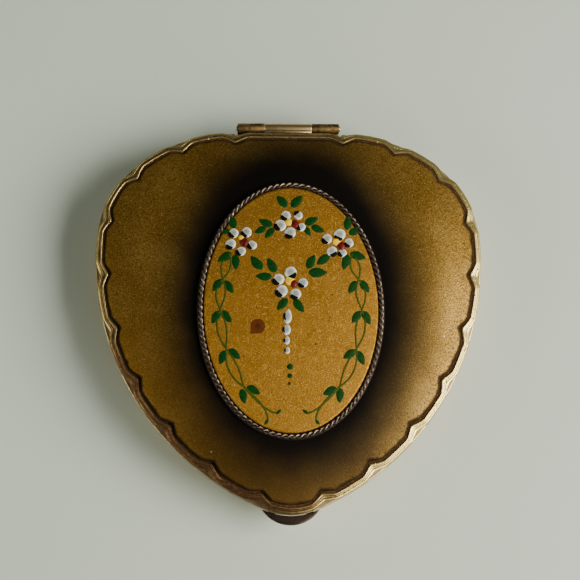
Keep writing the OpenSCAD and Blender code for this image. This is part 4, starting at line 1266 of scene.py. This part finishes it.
MIRROR_INSET = BACK_Y - mirror_high[1]
LIP_W, LIP_T = 1.5, 0.3
mirror_path = rounded([
    (MIRROR_INSET, mirror_high[2], 0.05), (MIRROR_INSET, mirror_low[2], 0.3),
    (MIRROR_INSET + SHEET + LIP_W, mirror_low[2], 0.12),
    (MIRROR_INSET + SHEET + LIP_W, mirror_low[2] + LIP_T, 0.1),
    (MIRROR_INSET + SHEET, mirror_low[2] + LIP_T, 0.05), (MIRROR_INSET + SHEET, mirror_high[2], 0.05),
])
build("mirror_rim", [loop_surface(carry(mirror_path))], inner_gilt, "lid", ["mirror_frame"])


def mirror_finish():
    """Silvered glass: almost perfect, with brown foxing in clouds and pin spots and a film of powder."""
    finish = Finish("mirror", Metallic=1.0)
    cloud = finish.noise(8.0, 4.0, 0.6)
    spots = finish.spots(3.2).step(0.04, 0.09, 1.0, 0.0) * cloud.step(0.45, 0.6)
    film = finish.noise(3.0, 4.0, 0.6)
    foxed = cloud.step(0.66, 0.8) * 0.35 + spots * 0.8
    shade = finish.blend(foxed, (0.86, 0.88, 0.87), (0.28, 0.21, 0.13))
    return finish.set(Base_Color=shade, Roughness=(film * 0.05 + foxed * 0.3 + 0.01).clamp())


def card_finish():
    """Grey-brown card with pulp fibres and darker flecks."""
    finish = Finish("card", Roughness=0.9)
    fibre = finish.noise(0.4, 4.0, 0.7)
    finish.bump(fibre, 0.05)
    return finish.set(Base_Color=finish.blend(fibre.step(0.35, 0.7), (0.30, 0.22, 0.14), (0.40, 0.31, 0.21)))


refinish("mirror_glass", mirror_finish())
refinish("mirror_card", card_finish())
refinish("lid_keeper", inner_gilt)

# ======================================================================================================
# Floor, light and camera. A pale table, a large soft light on the right, a weaker one on the left and a
# small one by the tip, and a camera almost straight above the box, leaning towards the tip.
# ======================================================================================================

TABLE_SIZE = 1.8
bpy.ops.mesh.primitive_plane_add(size=TABLE_SIZE)
table = bpy.context.object
table.name = "table"
table_finish = Finish("table", Roughness=0.6)
haze = table_finish.noise(60.0, 3.0, 0.5)
table.data.materials.append(
    table_finish.set(Base_Color=table_finish.blend(haze, (0.58, 0.66, 0.54), (0.63, 0.70, 0.60))))

AIM = np.array([0.0, 5.5, 11.3]) * MM
# The camera's distance in metres; how far it leans to the tip and to the left, and its tilt, in degrees.
DISTANCE, LEAN, SIDE, TILT = 0.330, 12.0, 3.0, -0.45
WIDTH_SEEN, SENSOR = 113.738 * MM, 36.0


def look(name, data, at, towards, roll=0.0):
    """Places a camera or light at a point, facing another, with +Y of the frame upwards, then turns it
    about its line of sight by roll degrees."""
    made = bpy.data.objects.new(name, data)
    bpy.context.scene.collection.objects.link(made)
    back = np.array(at, float) - towards
    back /= np.linalg.norm(back)
    right = np.cross([0, 1, 0.0], back)
    right /= np.linalg.norm(right)
    up = np.cross(back, right)
    c, s = np.cos(np.radians(roll)), np.sin(np.radians(roll))
    right, up = c * right + s * up, c * up - s * right
    made.matrix_world = Matrix([*np.column_stack([right, up, back, at]), (0, 0, 0, 1)])
    return made


lens = bpy.data.cameras.new("camera")
lens.sensor_width = SENSOR
lens.lens = SENSOR * DISTANCE / WIDTH_SEEN
lens.clip_start = 0.01
lean, side = np.radians(LEAN), np.radians(SIDE)
away = np.array([-np.sin(side), -np.sin(lean), np.sqrt(1 - np.sin(lean) ** 2 - np.sin(side) ** 2)])
bpy.context.scene.camera = look("camera", lens, AIM + DISTANCE * away, AIM, TILT)

# Each light: place and sides in metres, power in watts, and colour.
LIGHTS = {
    "right_window": ((0.47, -0.10, 0.40), 0.42, 0.42, 6.8, (1.0, 0.97, 0.91)),
    "left_fill": ((-0.6, -0.2, 0.30), 0.5, 0.5, 1.8, (0.98, 1.0, 0.88)),
    "tip_side": ((0.30, -0.50, 0.25), 0.25, 0.25, 0.8, (1.0, 0.97, 0.92)),
}
for name, (at, width, height, power, colour) in LIGHTS.items():
    lamp = bpy.data.lights.new(name, "AREA")
    lamp.shape, lamp.size, lamp.size_y = "RECTANGLE", width, height
    lamp.energy, lamp.color = power, colour
    look(name, lamp, at, AIM)
sky = bpy.data.worlds.new("studio")
sky.use_nodes = True
sky.node_tree.nodes["Background"].inputs["Color"].default_value = (0.50, 0.52, 0.54, 1)
sky.node_tree.nodes["Background"].inputs["Strength"].default_value = 0.115
bpy.context.scene.world = sky
